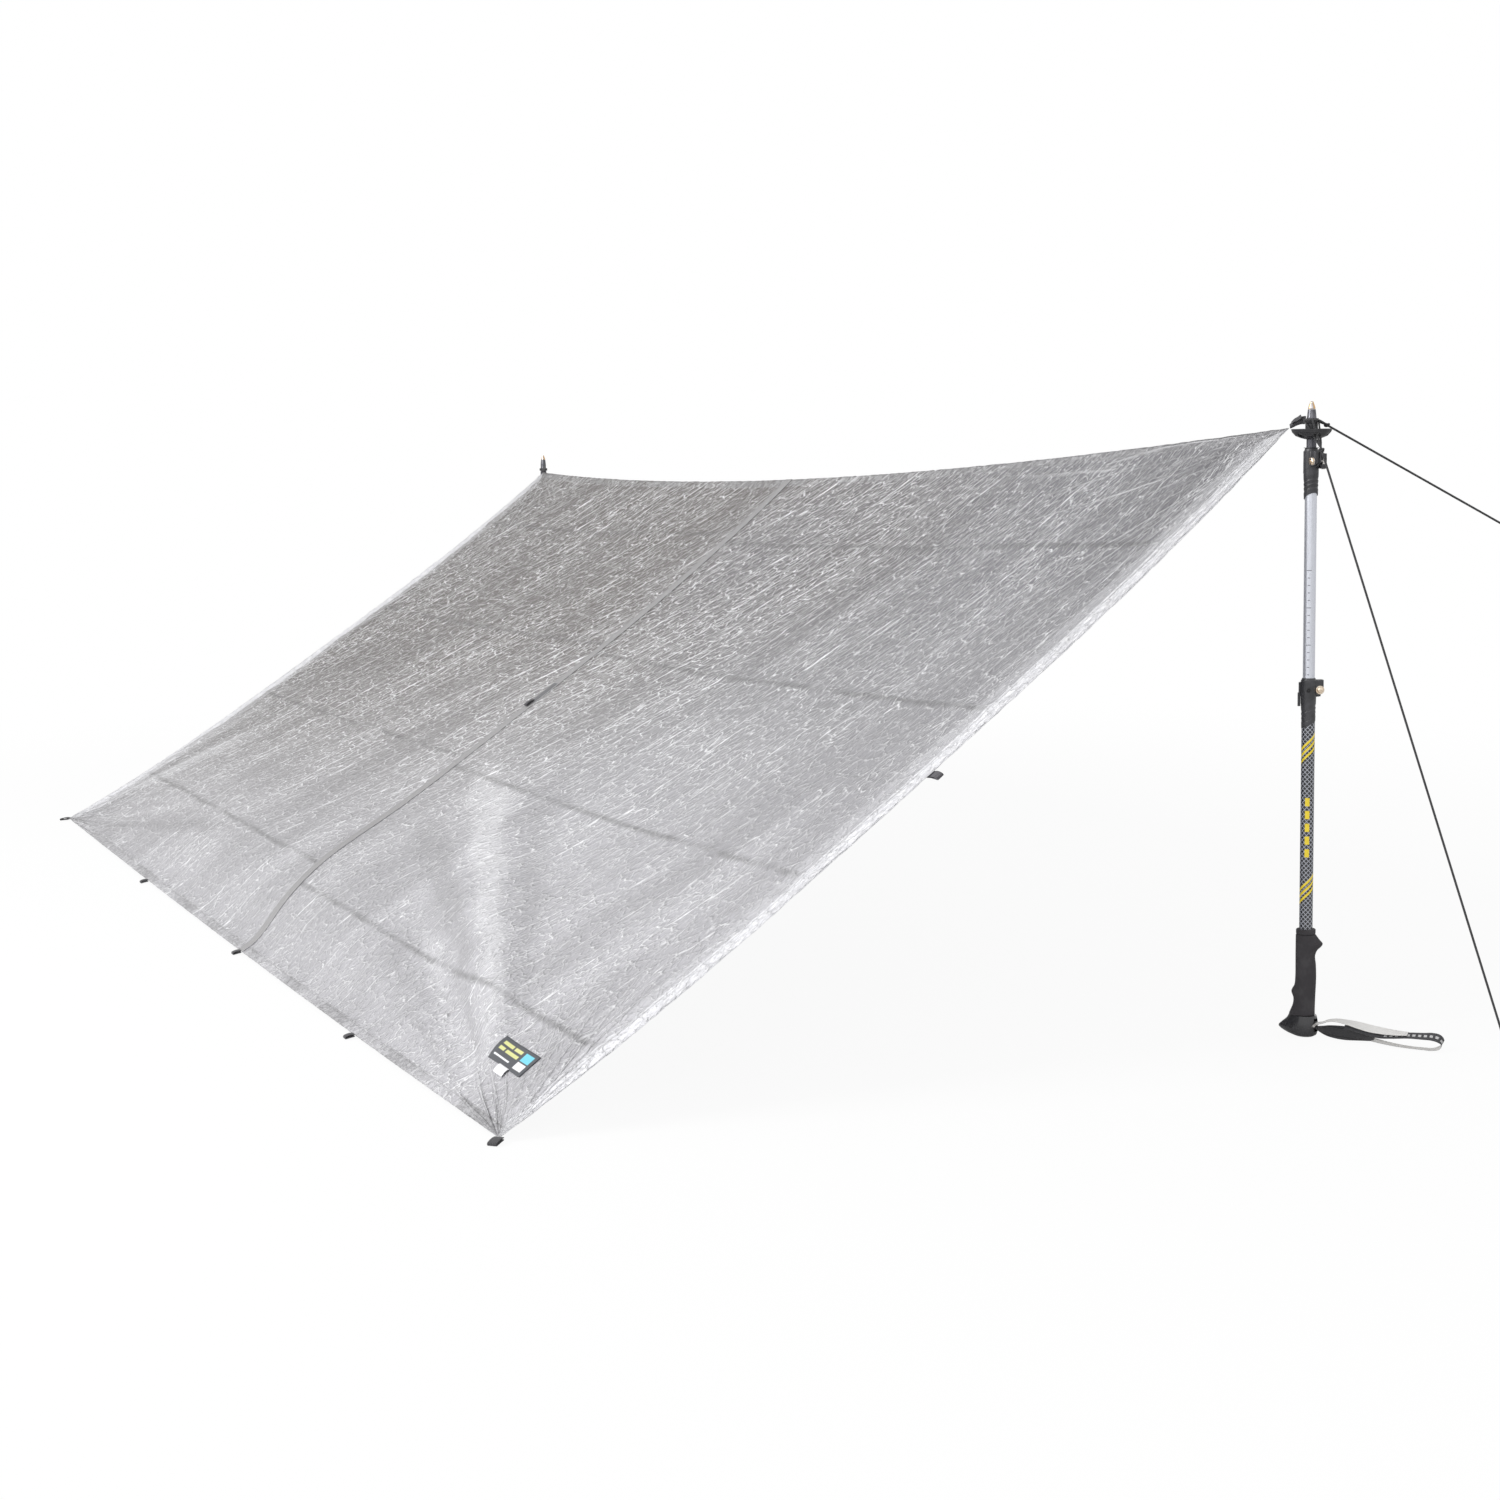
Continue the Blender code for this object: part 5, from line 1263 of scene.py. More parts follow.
def makeTubes(side):
    pole = poles[side]
    clampTop = pole["handleClamp"] + tubes["clampHeight"]
    tipTop = pole["tipClamp"] + tubes["clampHeight"]
    edge = 0.0003
    for name, low, clampLow, outer, bore, material, node, body in (
            ("HandleShaft", tubes["shaftFoot"], pole["handleClamp"], tubes["shaftRadius"], tubes["shaftBore"],
             wovenShaft, "handle_shaft", "root"),
            ("MiddleTube", clampTop - tubes["middleInsert"], pole["tipClamp"], tubes["middleRadius"],
             tubes["middleBore"], bareTube, "middle_tube", side + "_middle")):
        high = clampLow + tubes["seatDepth"]
        profile = [(outer, low + edge), (outer, high - edge), (outer - edge, high), (bore, high), (bore, low),
                   (outer - edge, low)]
        turnedPiece(name, side, profile, material, node, body, closed=True)
    radius, thread, neck = tubes["tipRadius"], tubes["threadRadius"], tubes["neckRadius"]
    base = pole["height"] - tubes["ferruleDrop"]
    profile = [(radius - edge, tipTop - tubes["tipInsert"]), (radius, tipTop - tubes["tipInsert"] + edge),
               (radius, base - 0.0004), (radius + 0.0005, base)]
    pitch = (tubes["threadTo"] - tubes["threadFrom"]) / tubes["threadTurns"]
    for i in range(tubes["threadTurns"]):
        start = base + tubes["threadFrom"] + pitch * i
        for share, deep in ((0.1, 0.0), (0.45, 0.0), (0.6, 0.0006), (0.9, 0.0006)):
            profile.append((thread - deep, start + pitch * share))
    shoulder = pole["height"] - tubes["shoulderDrop"]
    end = pole["height"] - tubes["capDrop"]
    profile += [(neck, base + 0.0129), (neck, shoulder - 0.0006), (neck - 0.0001, shoulder),
                (tubes["topRadius"] + 0.0002, end - 0.0008), (tubes["topRadius"] - 0.0002, end)]
    turnedPiece("TipSection", side, profile, darkTube, "tip_section", side + "_tip", smoothAngle=50.0)
    start = end + tubes["capGap"]
    profile = [(tubes["capRadius"] * wide, start + (pole["height"] - start) * share)
               for share, wide in smoothRows(tubes["capRows"], 26)]
    turnedPiece("TipCap", side, profile, tipMetal, "carbide_tip", side + "_tip", smoothAngle=60.0)


# grip: foam handle, moulded head and end ring
grip = {
    "headHeight": 0.029, "beakReach": 0.037, "strapReach": 0.0178, "headWidth": 0.033, "beakTaper": 0.45,
    "headRows": ((0.0, 0.42, 0.66, 0.62), (0.06, 0.58, 0.84, 0.8), (0.2, 0.84, 0.96, 0.94), (0.38, 1.0, 1.0, 1.0),
                 (0.58, 0.88, 1.0, 0.99), (0.8, 0.69, 0.97, 0.94), (1.0, 0.6, 0.88, 0.88)),
    "foamStart": 0.0293, "foamHeight": 0.112, "foamWidth": 0.0275, "foamSquash": 0.96,
    "foamRows": ((0.0, 0.97, 1.62), (0.05, 0.96, 1.45), (0.12, 0.97, 1.22), (0.2, 0.99, 1.15), (0.29, 1.02, 1.36),
                 (0.37, 1.05, 1.06), (0.47, 1.07, 0.98), (0.62, 1.03, 0.97), (0.75, 0.96, 0.98), (0.81, 1.18, 0.98),
                 (0.86, 1.58, 0.98), (0.89, 1.7, 0.98), (0.93, 1.42, 0.98), (1.0, 0.94, 0.97)),
    "hole": 0.0093, "ringLow": 0.1416, "ringHigh": 0.1486, "ringRadius": 0.0131, "pinX": 0.0155, "pinZ": 0.0165,
    "pinHole": 0.0023, "mouthStart": 0.0111, "mouthHalf": 0.007, "mouthLow": 0.0075, "mouthHigh": 0.0255,
    "sides": 72, "socketFloor": 0.0117, "foamRim": 0.0007, "rivetLean": 0.42, "rivetX": -0.015,
    "rivetZ": 0.014, "rivetRadius": 0.0022, "rivetLevel": 0.955,
}


def roundPlug(name, profile, matrix, material, sides=32):  # turned about local Y, from the surface outwards
    return linkMesh(name, ringMesh(crossRings(profile, sides)), material, 35.0, matrix)


def makeGripHead(side):
    stand = standFrame(side, bearings["strap"])
    turns = turnsOf(grip["sides"])
    front = np.maximum(0, np.cos(turns)) ** 2
    share, beak, strapShare, wide = smoothRows(grip["headRows"], 40).T[..., None]
    reach = np.where(np.cos(turns) > 0, grip["beakReach"] * beak, grip["strapReach"] * strapShare)
    across = grip["headWidth"] / 2 * wide * (1 - grip["beakTaper"] * front)
    rings = pack(reach * np.cos(turns), across * np.sin(turns), share * grip["headHeight"])
    head = linkMesh(side + "GripHead", ringMesh(rings), gripPlastic, 35.0, stand @ Matrix.Rotation(math.pi, 4, "Z"))
    hole, top = grip["hole"], grip["headHeight"] + 0.002
    socket = cutterPiece(ringMesh(turnedRings([(hole, grip["socketFloor"]), (hole, top)], 64)), standFrame(side))
    x0, x1, half = grip["mouthStart"], grip["strapReach"] + 0.003, grip["mouthHalf"]
    corners = [(x0, -half), (x1, -half), (x1, half), (x0, half)]
    mouthRings = np.array([[(x, y, z) for x, y in corners] for z in (grip["mouthLow"], grip["mouthHigh"])])
    pinPlace = stand @ Matrix.Translation((grip["pinX"], 0.0, grip["pinZ"]))
    cutAway(head, [socket, cutterPiece(ringMesh(mouthRings), stand), crossRod(grip["pinHole"], 0.04, pinPlace)])
    softEdges(head, 0.0005, 50.0, 2)
    standFor(head, side + "_grip_head")


def makeHeadRivets(side):
    cosine = -grip["rivetX"] / (grip["beakReach"] * grip["rivetLevel"])
    deep = grip["headWidth"] / 2 * (1 - grip["beakTaper"] * cosine ** 2) * math.sqrt(1 - cosine ** 2)
    radius = grip["rivetRadius"]
    for number, way in enumerate((-1, 1), 1):
        plug = [(wide, out * way) for wide, out in (
            (0.0001, -0.0004), (radius, -0.0004), (radius, 0.0005), (radius * 0.8, 0.0008), (radius * 0.7, 0.0003),
            (0.0001, 0.0002))]
        place = Matrix.Translation((grip["rivetX"], deep * way, grip["rivetZ"]))
        turn = Matrix.Rotation(grip["rivetLean"] * way, 4, "Z")
        rivet = roundPlug(f"{side}HeadRivet{number}", plug, standFrame(side, bearings["strap"]) @ place @ turn,
                          basketPlastic)
        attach(rivet, "root")


def makeFoam(side):
    turns = turnsOf(grip["sides"])
    half = grip["foamWidth"] / 2
    share, bulge, beak = smoothRows(grip["foamRows"], 96).T[..., None]
    weight = np.cos(turns) ** 2
    radius = half * (1 - weight) + np.where(np.cos(turns) > 0, half * bulge, half * beak) * weight
    radius[[0, -1]] -= grip["foamRim"]
    heights = grip["foamStart"] + share * grip["foamHeight"]
    outer = pack(radius * np.cos(turns), radius * grip["foamSquash"] * np.sin(turns), heights)
    inner = turnedRings([(grip["hole"], heights[-1, 0]), (grip["hole"], heights[0, 0])], grip["sides"])
    mesh = ringMesh(np.concatenate([outer, inner]), closed=True)
    foam = linkMesh(side + "FoamGrip", mesh, foamRubber, 50.0, standFrame(side, bearings["strap"]))
    standFor(foam, side + "_foam_grip")


def makeGrip(side):
    makeGripHead(side)
    makeHeadRivets(side)
    makeFoam(side)
    low, high, radius, step = grip["ringLow"], grip["ringHigh"], grip["ringRadius"], 0.0012
    profile = [(grip["hole"], low), (radius - step, low)]
    profile += [(radius - step + step * math.sin(a), low + step - step * math.cos(a)) for a in (0.5, 1.0, 1.5)]
    profile += [(radius - step + step * math.cos(a), high - step + step * math.sin(a)) for a in (0.1, 0.6, 1.1)]
    profile += [(radius - step, high), (grip["hole"], high)]
    turnedPiece("GripRing", side, profile, foamRubber, "grip_ring", closed=True, smoothAngle=50.0)


# clamps: a ribbed sleeve and a slotted band with ears
clamp = {
    "radius": 0.0104, "handleBoreLow": 0.0093, "handleBoreHigh": 0.0083, "tipBoreLow": 0.0083, "tipBoreHigh": 0.0069,
    "sleeveSlant": 0.005, "bandLow": 0.034, "bandSlant": 0.0062, "bandTop": 0.0605, "collarTop": 0.063,
    "earReach": 0.0195, "earFar": 0.005, "earNear": 0.0062, "earRound": 0.003, "slot": 0.0015, "ribDepth": 0.001,
    "ribs": (0.0075, 0.0135, 0.0195), "ribWidth": 0.0036, "screwX": 0.014, "screwZ": 0.047, "screwHole": 0.002,
    "sleeveRows": 66, "sleeveOver": 0.008, "sleeveInset": 0.0003, "sleeveBell": 0.0008, "boreDrop": 0.004,
    "ribLowEdge": 0.0002, "ribHighEdge": 0.0009, "ribShown": (0.62, 0.6), "leanFade": 0.4,
    "flangeRadius": 0.0102, "flangeLow": 0.064, "flangeHigh": 0.065, "handleFacing": 1.75, "tipFacing": 0.56,
    "rivet": ((0.0001, 0.0008), (0.003, 0.0008), (0.003, -0.0004), (0.0024, -0.0008), (0.0019, -0.0003),
              (0.0016, -0.0003), (0.0012, -0.0009), (0.0001, -0.0011)),
}


def arc(centreX, centreY, radius, start, end, count):
    return [(centreX + radius * math.cos(turn), centreY + radius * math.sin(turn))
            for turn in np.radians(np.linspace(start, end, count))]


def clampOutline(radius, near, far):  # seen from above, the slot between the ears open
    reach, curve, slot = clamp["earReach"], clamp["earRound"], clamp["slot"] / 2
    start = math.degrees(math.asin(far / radius))
    stop = 360 - math.degrees(math.asin(near / radius))
    return ([(reach, slot)] + arc(reach - curve, far - curve, curve, 0, 90, 7) + arc(0, 0, radius, start, stop, 56)
            + arc(reach - curve, curve - near, curve, -90, 0, 7) + [(reach, -slot)])


def clampBand(bore):
    outer = clampOutline(clamp["radius"], clamp["earNear"], clamp["earFar"])
    slotTurn = math.degrees(math.asin(clamp["slot"] / 2 / bore))
    x, y = np.array(outer + arc(0, 0, bore, 360 - slotTurn, slotTurn, 49)).T
    low = clamp["bandLow"] + clamp["bandSlant"] * x / clamp["radius"]
    share = np.array([[0.0], [0.5], [1.0]])
    return ringMesh(pack(x, y, low + (clamp["bandTop"] - low) * share))


def sleeveRings(boreLow, facing):
    sides = 72
    turns = turnsOf(sides)
    top = clamp["bandLow"] + clamp["sleeveOver"]
    level = np.linspace(0, top, clamp["sleeveRows"])[:, None]
    groove = 0.0
    for rib in clamp["ribs"]:
        groove = groove + 1 / (1 + np.exp(-(level - rib) / clamp["ribLowEdge"]))
        groove = groove - 1 / (1 + np.exp(-(level - rib - clamp["ribWidth"]) / clamp["ribHighEdge"]))
    around, most = clamp["ribShown"]
    shown = np.clip(around + most * np.cos(turns + facing), 0, 1)
    radius = (clamp["radius"] - clamp["sleeveInset"] - clamp["ribDepth"] * groove * shown
              - clamp["sleeveBell"] * (1 - level / top) ** 2)
    lean = clamp["sleeveSlant"] * (1 - clamp["leanFade"] * level / top) * np.cos(turns)
    rings = pack(radius * np.cos(turns), radius * np.sin(turns), np.minimum(level + lean, clamp["bandTop"] - 0.001))
    inner = turnedRings([(boreLow, top - clamp["boreDrop"]), (boreLow, 0.0)], sides)
    inner[1, :, 2] = rings[0, :, 2]
    return np.concatenate([rings, inner])


def makeClamp(side, kind):
    matrix = standFrame(side, bearings[kind + "Clamp"], poles[side][kind + "Clamp"])
    boreLow, boreHigh = clamp[kind + "BoreLow"], clamp[kind + "BoreHigh"]
    name = f"{side}{kind.capitalize()}Clamp"
    band = linkMesh(name + "Band", clampBand(boreHigh), clampPlastic, 35.0, matrix)
    screwPlace = matrix @ Matrix.Translation((clamp["screwX"], 0.0, clamp["screwZ"]))
    cutAway(band, [crossRod(clamp["screwHole"], 0.03, screwPlace)])
    softEdges(band, 0.0007)
    mesh = ringMesh(sleeveRings(boreLow, clamp[kind + "Facing"]), closed=True)
    sleeve = linkMesh(name + "Sleeve", mesh, clampPlastic, 50.0, matrix)
    wide, high = clamp["radius"], clamp["bandTop"]
    profile = [(boreHigh, high - 0.0004), (wide - 0.0006, high - 0.0004)]
    if kind == "handle":
        profile += [(wide - 0.0012, high + 0.0014), (wide - 0.0016, clamp["collarTop"] - 0.0003),
                    (wide - 0.002, clamp["collarTop"]), (boreHigh, clamp["collarTop"])]
    else:
        rim = clamp["flangeRadius"]
        profile += [(wide - 0.0018, high + 0.0022), (0.0084, clamp["flangeLow"]), (rim, clamp["flangeLow"] + 0.0003),
                    (rim, clamp["flangeHigh"] - 0.0003), (rim - 0.0004, clamp["flangeHigh"]),
                    (boreHigh, clamp["flangeHigh"])]
    collar = linkMesh(name + "Collar", ringMesh(turnedRings(profile, 64), closed=True), clampPlastic, 40.0, matrix)
    for piece in (band, sleeve, collar):
        standFor(piece, f"{side}_{kind}_clamp", "root" if kind == "handle" else side + "_middle")
    if kind == "handle":
        place = matrix @ Matrix.Translation((-0.0022, -clamp["radius"] * 0.978, clamp["screwZ"]))
        rivet = roundPlug(name + "Rivet", clamp["rivet"], place @ Matrix.Rotation(-0.2, 4, "Z"), basketPlastic)
        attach(rivet, "root")
    makeScrew(side, kind, screwPlace)


screw = {"shank": 0.0017, "nearFace": -0.0066, "hubFace": 0.0073, "washer": 0.0058, "washerThick": 0.0006,
         "domeRadius": 0.004, "domeHigh": 0.0024, "hexRadius": 0.005, "hexHigh": 0.003}


def makeScrew(side, kind, place):
    name = f"{side}{kind.capitalize()}Screw"
    face, shank, washer = screw["nearFace"], screw["shank"], screw["washer"]
    under = face - screw["washerThick"]
    flat = [(shank, screw["hubFace"]), (shank, face), (washer - 0.0002, face), (washer, face - 0.0002),
            (washer, under + 0.0002), (washer - 0.0002, under)]
    if kind == "handle":
        dome = screw["domeRadius"]
        flat.append((dome, under))
        for turn in np.radians(np.linspace(10, 88, 7)):
            flat.append((dome * math.cos(turn) ** 0.7, under - screw["domeHigh"] * math.sin(turn)))
    pieces = [roundPlug(name, flat, place, warmSteel if kind == "handle" else brightSteel, sides=40)]
    if kind == "tip":
        wide, start = screw["hexRadius"], under - 0.0001
        end = start - screw["hexHigh"]
        hexagon = [(wide, start), (wide, end + 0.0005), (wide * 0.86, end), (wide * 0.45, end),
                   (wide * 0.42, end - 0.0006), (wide * 0.2, end - 0.0008)]
        pieces.append(roundPlug(name + "Nut", hexagon, place, warmSteel, sides=6))
    for piece in pieces:
        standFor(piece, f"{side}_{kind}_screw", f"{side}_{kind}_screw")


# what stays packed: rounded edges, smooth shading and a finish
def smoothGroup():
    tree = bpy.data.node_groups.new("shadeRound", "GeometryNodeTree")
    for way in ("INPUT", "OUTPUT"):
        tree.interface.new_socket("Geometry", in_out=way, socket_type="NodeSocketGeometry")
    source, target = tree.nodes.new("NodeGroupInput"), tree.nodes.new("NodeGroupOutput")
    faces, edges = (tree.nodes.new("GeometryNodeSetShadeSmooth") for _ in range(2))
    faces.domain, edges.domain = "FACE", "EDGE"
    edges.inputs["Shade Smooth"].default_value = False
    angle = tree.nodes.new("GeometryNodeInputMeshEdgeAngle")
    sharp = tree.nodes.new("FunctionNodeCompare")
    sharp.data_type, sharp.operation = "FLOAT", "GREATER_THAN"
    sharp.inputs[1].default_value = math.radians(38)
    for value, socket in ((source.outputs[0], faces.inputs["Geometry"]), (faces.outputs[0], edges.inputs["Geometry"]),
                          (angle.outputs["Unsigned Angle"], sharp.inputs[0]),
                          (sharp.outputs[0], edges.inputs["Selection"]), (edges.outputs[0], target.inputs[0])):
        wire(value, socket)
    return tree


shadeRound = smoothGroup()


def dressNode(name, material, bevel):
    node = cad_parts[name]
    for slot in node.material_slots:
        slot.material = material
    softEdges(node, bevel, 40.0)
    node.modifiers.new("shadeRound", "NODES").node_group = shadeRound


for side in poles:
    makeTubes(side)
    makeGrip(side)
    makeClamp(side, "handle")
    makeClamp(side, "tip")
    for kind in ("handle", "tip"):
        dressNode(f"{side}_{kind}_lever", clampPlastic, 0.0005)
        dressNode(f"{side}_{kind}_lever_pin", brightSteel, 0.0002)
    dressNode(side + "_strap_pin", brightSteel, 0.0002)
dressNode("right_basket", basketPlastic, 0.0005)
print("poles dressed")


# wrist strap: a pale tail above, a dark pad, and the webbing that turns back under them
strap = {
    "pinWrap": 0.0032, "thick": 0.0014, "padThick": 0.0034, "wrapTurns": (80, 120, 160, 200, 240),
    "wrapWidth": 0.01, "step": 0.0025, "leastRows": 24, "seamPlace": 0.0058, "dashLong": 0.0078,
    "tail": (  # in mm: along, sideways, height, width; then the tilt in degrees
        (15.5, 0, 18.6, 10, 2), (20.5, 0, 19.2, 10, 3), (25, 0, 20.4, 10, 4), (32, 0, 23.6, 10, 6),
        (42, -1, 25.8, 10.5, 10), (59.3, -2, 25.2, 11, 22), (76, -3, 22.8, 11.5, 40), (90, -3, 20.4, 11.5, 48),
        (110, -4, 18.8, 11, 40), (130, -4, 18.2, 10.5, 26), (144, -4, 18.6, 10, 14)),
    "pad": (
        (16, 0, 13, 10, 6), (22, 0, 11.8, 11, 30), (32, -1, 10.6, 15, 58), (45, -2, 10, 18, 66),
        (60, -3, 9.8, 18.5, 68), (74, -3, 8.8, 15, 64), (87, -3, 7.2, 10.5, 48), (98, -3, 6, 8, 24)),
    "band": (
        (56, -1, 18, 6, 60), (70, -2, 17, 7.5, 58), (88, -3, 14, 8.5, 52), (105, -4, 12.2, 9, 46),
        (125, -5, 14, 9.5, 42), (145, -5, 16.6, 10.5, 38), (165, -5, 17.8, 11.5, 40), (178, -5, 18.4, 12.5, 44),
        (186.5, -5, 16.6, 12.5, 46), (190.5, -5, 11.8, 12, 40), (188.5, -5, 6, 11.5, 24), (180, -6, 2.2, 11, 8),
        (165, -6, 1.3, 10.5, 3), (140, -6, 1.4, 10, 4), (118, -5, 2.8, 9.5, 10), (96, -4, 5.6, 8.5, 22)),
}


def strapStrand(name, side, rows, thick, material, wrap=False):
    rows = np.array(rows) * (0.001, 0.001, 0.001, 0.001, 1)
    if wrap:
        ways = [towards(angle) * strap["pinWrap"] for angle in strap["wrapTurns"]]
        rows = np.array([(grip["pinX"] + way.x, 0.0, grip["pinZ"] + way.y, strap["wrapWidth"], 0) for way in ways]
                        + rows.tolist())
    steps = lengthsAlong(rows[:, :3])
    fine = smoothRows(np.column_stack([steps, rows]), max(strap["leastRows"], int(steps[-1] / strap["step"])))
    tilt = np.radians(fine[:, 5])
    mesh = bandMesh(fine[:, 1:4], pack(0.0, np.cos(tilt), np.sin(tilt)), fine[:, 4], thick)
    piece = linkMesh(side + name, mesh, material, matrix=standFrame(side, bearings["strap"]))
    standFor(piece, side + "_wrist_strap", side + "_strap")


def strapMaterial(name, rough, pitch, rib):
    material, tree = newMaterial(name, rough, sheen=0.2)
    place = placeMark(tree, "webPlace")
    return material, parts(place), useGroup(webbingWeave, Place=place, Pitch=pitch, Rib=rib)


def padMaterial():
    material, (_, y, _), weave = strapMaterial("strapPad", 0.82, 0.0013, 0.0013)
    base = weaveMix(weave, (0.012, 0.012, 0.013), (0.07, 0.069, 0.074))
    seam = spot(sizeOf(y), strap["seamPlace"], 0.0006, 0.0003)
    base = mix(times(seam, 0.8), base, (0.01, 0.01, 0.011))
    return finished(material, base, minus(weave["Height"], times(seam, 1.6)), 0.0005, 0.9)


def strapWebbingMaterial():  # dark outside with plain light dashes, pale inside
    material, (x, y, z), weave = strapMaterial("strapWebbing", 0.75, 0.0012, 0.0014)
    dark = weaveMix(weave, (0.018, 0.018, 0.02), (0.085, 0.085, 0.092))
    pale = weaveMix(weave, (0.52, 0.51, 0.5), (0.72, 0.71, 0.69))
    dashes = times(spot(partOf(over(x, strap["dashLong"])), 0.5, 0.27, 0.05), spot(y, 0.0, 0.0018, 0.0003))
    dark = mix(times(dashes, ramp(x, 0.052, 0.056)), dark, (0.6, 0.6, 0.6))
    base = mix(ramp(z, -0.0002, 0.0002, 1.0, 0.0), dark, pale)
    return finished(material, base, weave["Height"], 0.0003, 0.8)


def paleTailMaterial():
    material, (_, _, z), weave = strapMaterial("strapTail", 0.72, 0.0012, 0.0014)
    base = weaveMix(weave, (0.76, 0.75, 0.73), (0.9, 0.89, 0.87))
    base = mix(ramp(z, -0.0004, 0.0, 1.0, 0.0), base, (0.03, 0.03, 0.033))
    return finished(material, base, weave["Height"], 0.0003, 0.8)


strapPad = padMaterial()
strapWebbing = strapWebbingMaterial()
strapTail = paleTailMaterial()
for side in poles:
    strapStrand("StrapPad", side, strap["pad"], strap["padThick"] * 0.5, strapPad, wrap=True)
    strapStrand("StrapTail", side, strap["tail"], strap["thick"], strapTail)
    strapStrand("StrapWebbing", side, strap["band"], strap["thick"] * 0.8, strapWebbing)
print("wrist straps made")


# corner loops that drop over the pole tips: a ring of webbing, and its two tails to the sheet's corner
cornerLoop = {"ringHeight": 0.0058, "ringRadius": 0.0083, "ringThick": 0.0018, "strapWidth": 0.01, "thick": 0.0014,
              "right": {"height": 0.8328, "bearing": -135.0, "target": 0.826, "facing": (1, 1, 1)},
              "left": {"height": 0.7372, "bearing": -20.0, "target": 0.733, "facing": (1, -1, 1)},
              "humpOverTarget": 0.007, "humpUnderRing": 0.002}
cornerStraps = (  # name, share of the width, twist in degrees; then along, sideways, the level it follows, rise
    ("Upper", 1.0, (-62, -30), (
        (0.0078, 0.0, "middle", 0.0016), (0.013, 0.0, "middle", 0.0014), (0.0205, 0.0, "hump", 0.001),
        (0.0262, 0.0, "target", 0.0046), (0.0286, 0.0, "target", 0.0028))),
    ("Lower", 0.94, (-56, -26), (
        (0.0088, 0.0, "middle", -0.0008), (0.013, 0.0, "middle", -0.001), (0.02, 0.0, "hump", -0.001),
        (0.0258, 0.0, "target", 0.0026), (0.0284, 0.0, "target", 0.0014))),
    ("Tail", 0.8, (-30, -48), (
        (0.0262, 0.0015, "target", 0.0066), (0.0225, 0.0018, "hump", 0.003), (0.018, 0.0022, "hump", 0.0052),
        (0.0135, 0.003, "hump", 0.0082))),
)


def cornerStrap(name, side, rows, width, twist):  # twist: degrees at its start and at its end
    place = cornerLoop[side]
    rows = np.array(rows, float)
    path = smoothRows(np.column_stack([lengthsAlong(rows), rows]), 30)[:, 1:]
    turn = np.radians(np.linspace(*twist, len(path)))
    mesh = bandMesh(path, pack(0.0, np.cos(turn), np.sin(turn)) * place["facing"], width, cornerLoop["thick"])
    piece = linkMesh(side + name, mesh, blackWebbing, matrix=standFrame(side, place["bearing"]))
    standFor(piece, f"back_{side}_corner_loop", side + "_tip")


def makeCornerLoops():
    for side in ("right", "left"):
        place = cornerLoop[side]
        middle = place["height"] + cornerLoop["ringHeight"] / 2
        ring = turnedRings([(cornerLoop["ringRadius"], middle)], 64)[0]
        mesh = bandMesh(ring, (0.0, 0.0, 1.0), cornerLoop["ringHeight"], cornerLoop["ringThick"], closed=True)
        piece = linkMesh(side + "CornerRing", mesh, blackWebbing, matrix=standFrame(side, place["bearing"]))
        standFor(piece, f"back_{side}_corner_loop", side + "_tip")
        hump = max(place["target"] + cornerLoop["humpOverTarget"], place["height"] - cornerLoop["humpUnderRing"])
        levels = {"middle": middle, "hump": hump, "target": place["target"]}
        for name, share, twist, rows in cornerStraps:
            rows = [(along, sideways, levels[level] + rise) for along, sideways, level, rise in rows]
            cornerStrap("CornerStrap" + name, side, rows, cornerLoop["strapWidth"] * share, twist)


# guy lines: taut from the pole's ring to their end loops just past the picture
guy = {
    "diameter": 0.003, "lead": 0.0015, "bend": 0.012, "bendSteps": 5, "steps": 28, "startReach": 0.0097,
    "startHeight": 0.8357, "kneeReach": 0.0025, "kneeDrop": 0.001,
    "rightStart": 82.0, "rightBearing": 82.0, "rightReach": 0.292, "rightEndHeight": 0.69,
    "frontStart": -30.0, "frontBearing": 0.0, "frontReach": 0.412, "frontEndHeight": 0.066,
    "loopLength": 0.03, "loopWidth": 0.014, "gap": 0.0003, "fineStep": 0.006, "loopSteps": 40,
    "loopShape": (0.55, 0.45, 0.4),
}


def guyRoute(side):
    out, away = towards(guy[side + "Start"]), towards(guy[side + "Bearing"])
    start = out * guy["startReach"] + Vector((0, 0, guy["startHeight"]))
    leave = start + out * guy["lead"]
    knee = start + out * guy["kneeReach"] - Vector((0, 0, guy["kneeDrop"]))
    end = away * guy[side + "Reach"] + Vector((0, 0, guy[side + "EndHeight"]))
    bend = knee + (end - knee).normalized() * guy["bend"]
    shares = [i / guy["bendSteps"] for i in range(guy["bendSteps"])]
    return ([start] + [leave.lerp(knee, t).lerp(knee.lerp(bend, t), t) for t in shares]
            + [bend.lerp(end, i / guy["steps"]) for i in range(guy["steps"] + 1)])


def cordMaterial():
    material, tree = newMaterial("guyCord", 0.62, sheen=0.2)
    x, y, _ = parts(placeMark(tree, "cordPlace"))
    turn, rise = times(y, 4.0), times(x, 1900.0)
    plait = larger(sineOf(plus(rise, turn)), sineOf(minus(rise, turn)))
    base = mix(ramp(plait, -0.2, 1.0), (0.006, 0.006, 0.007), (0.026, 0.026, 0.029))
    return finished(material, base, plait, 0.0003, 0.8)


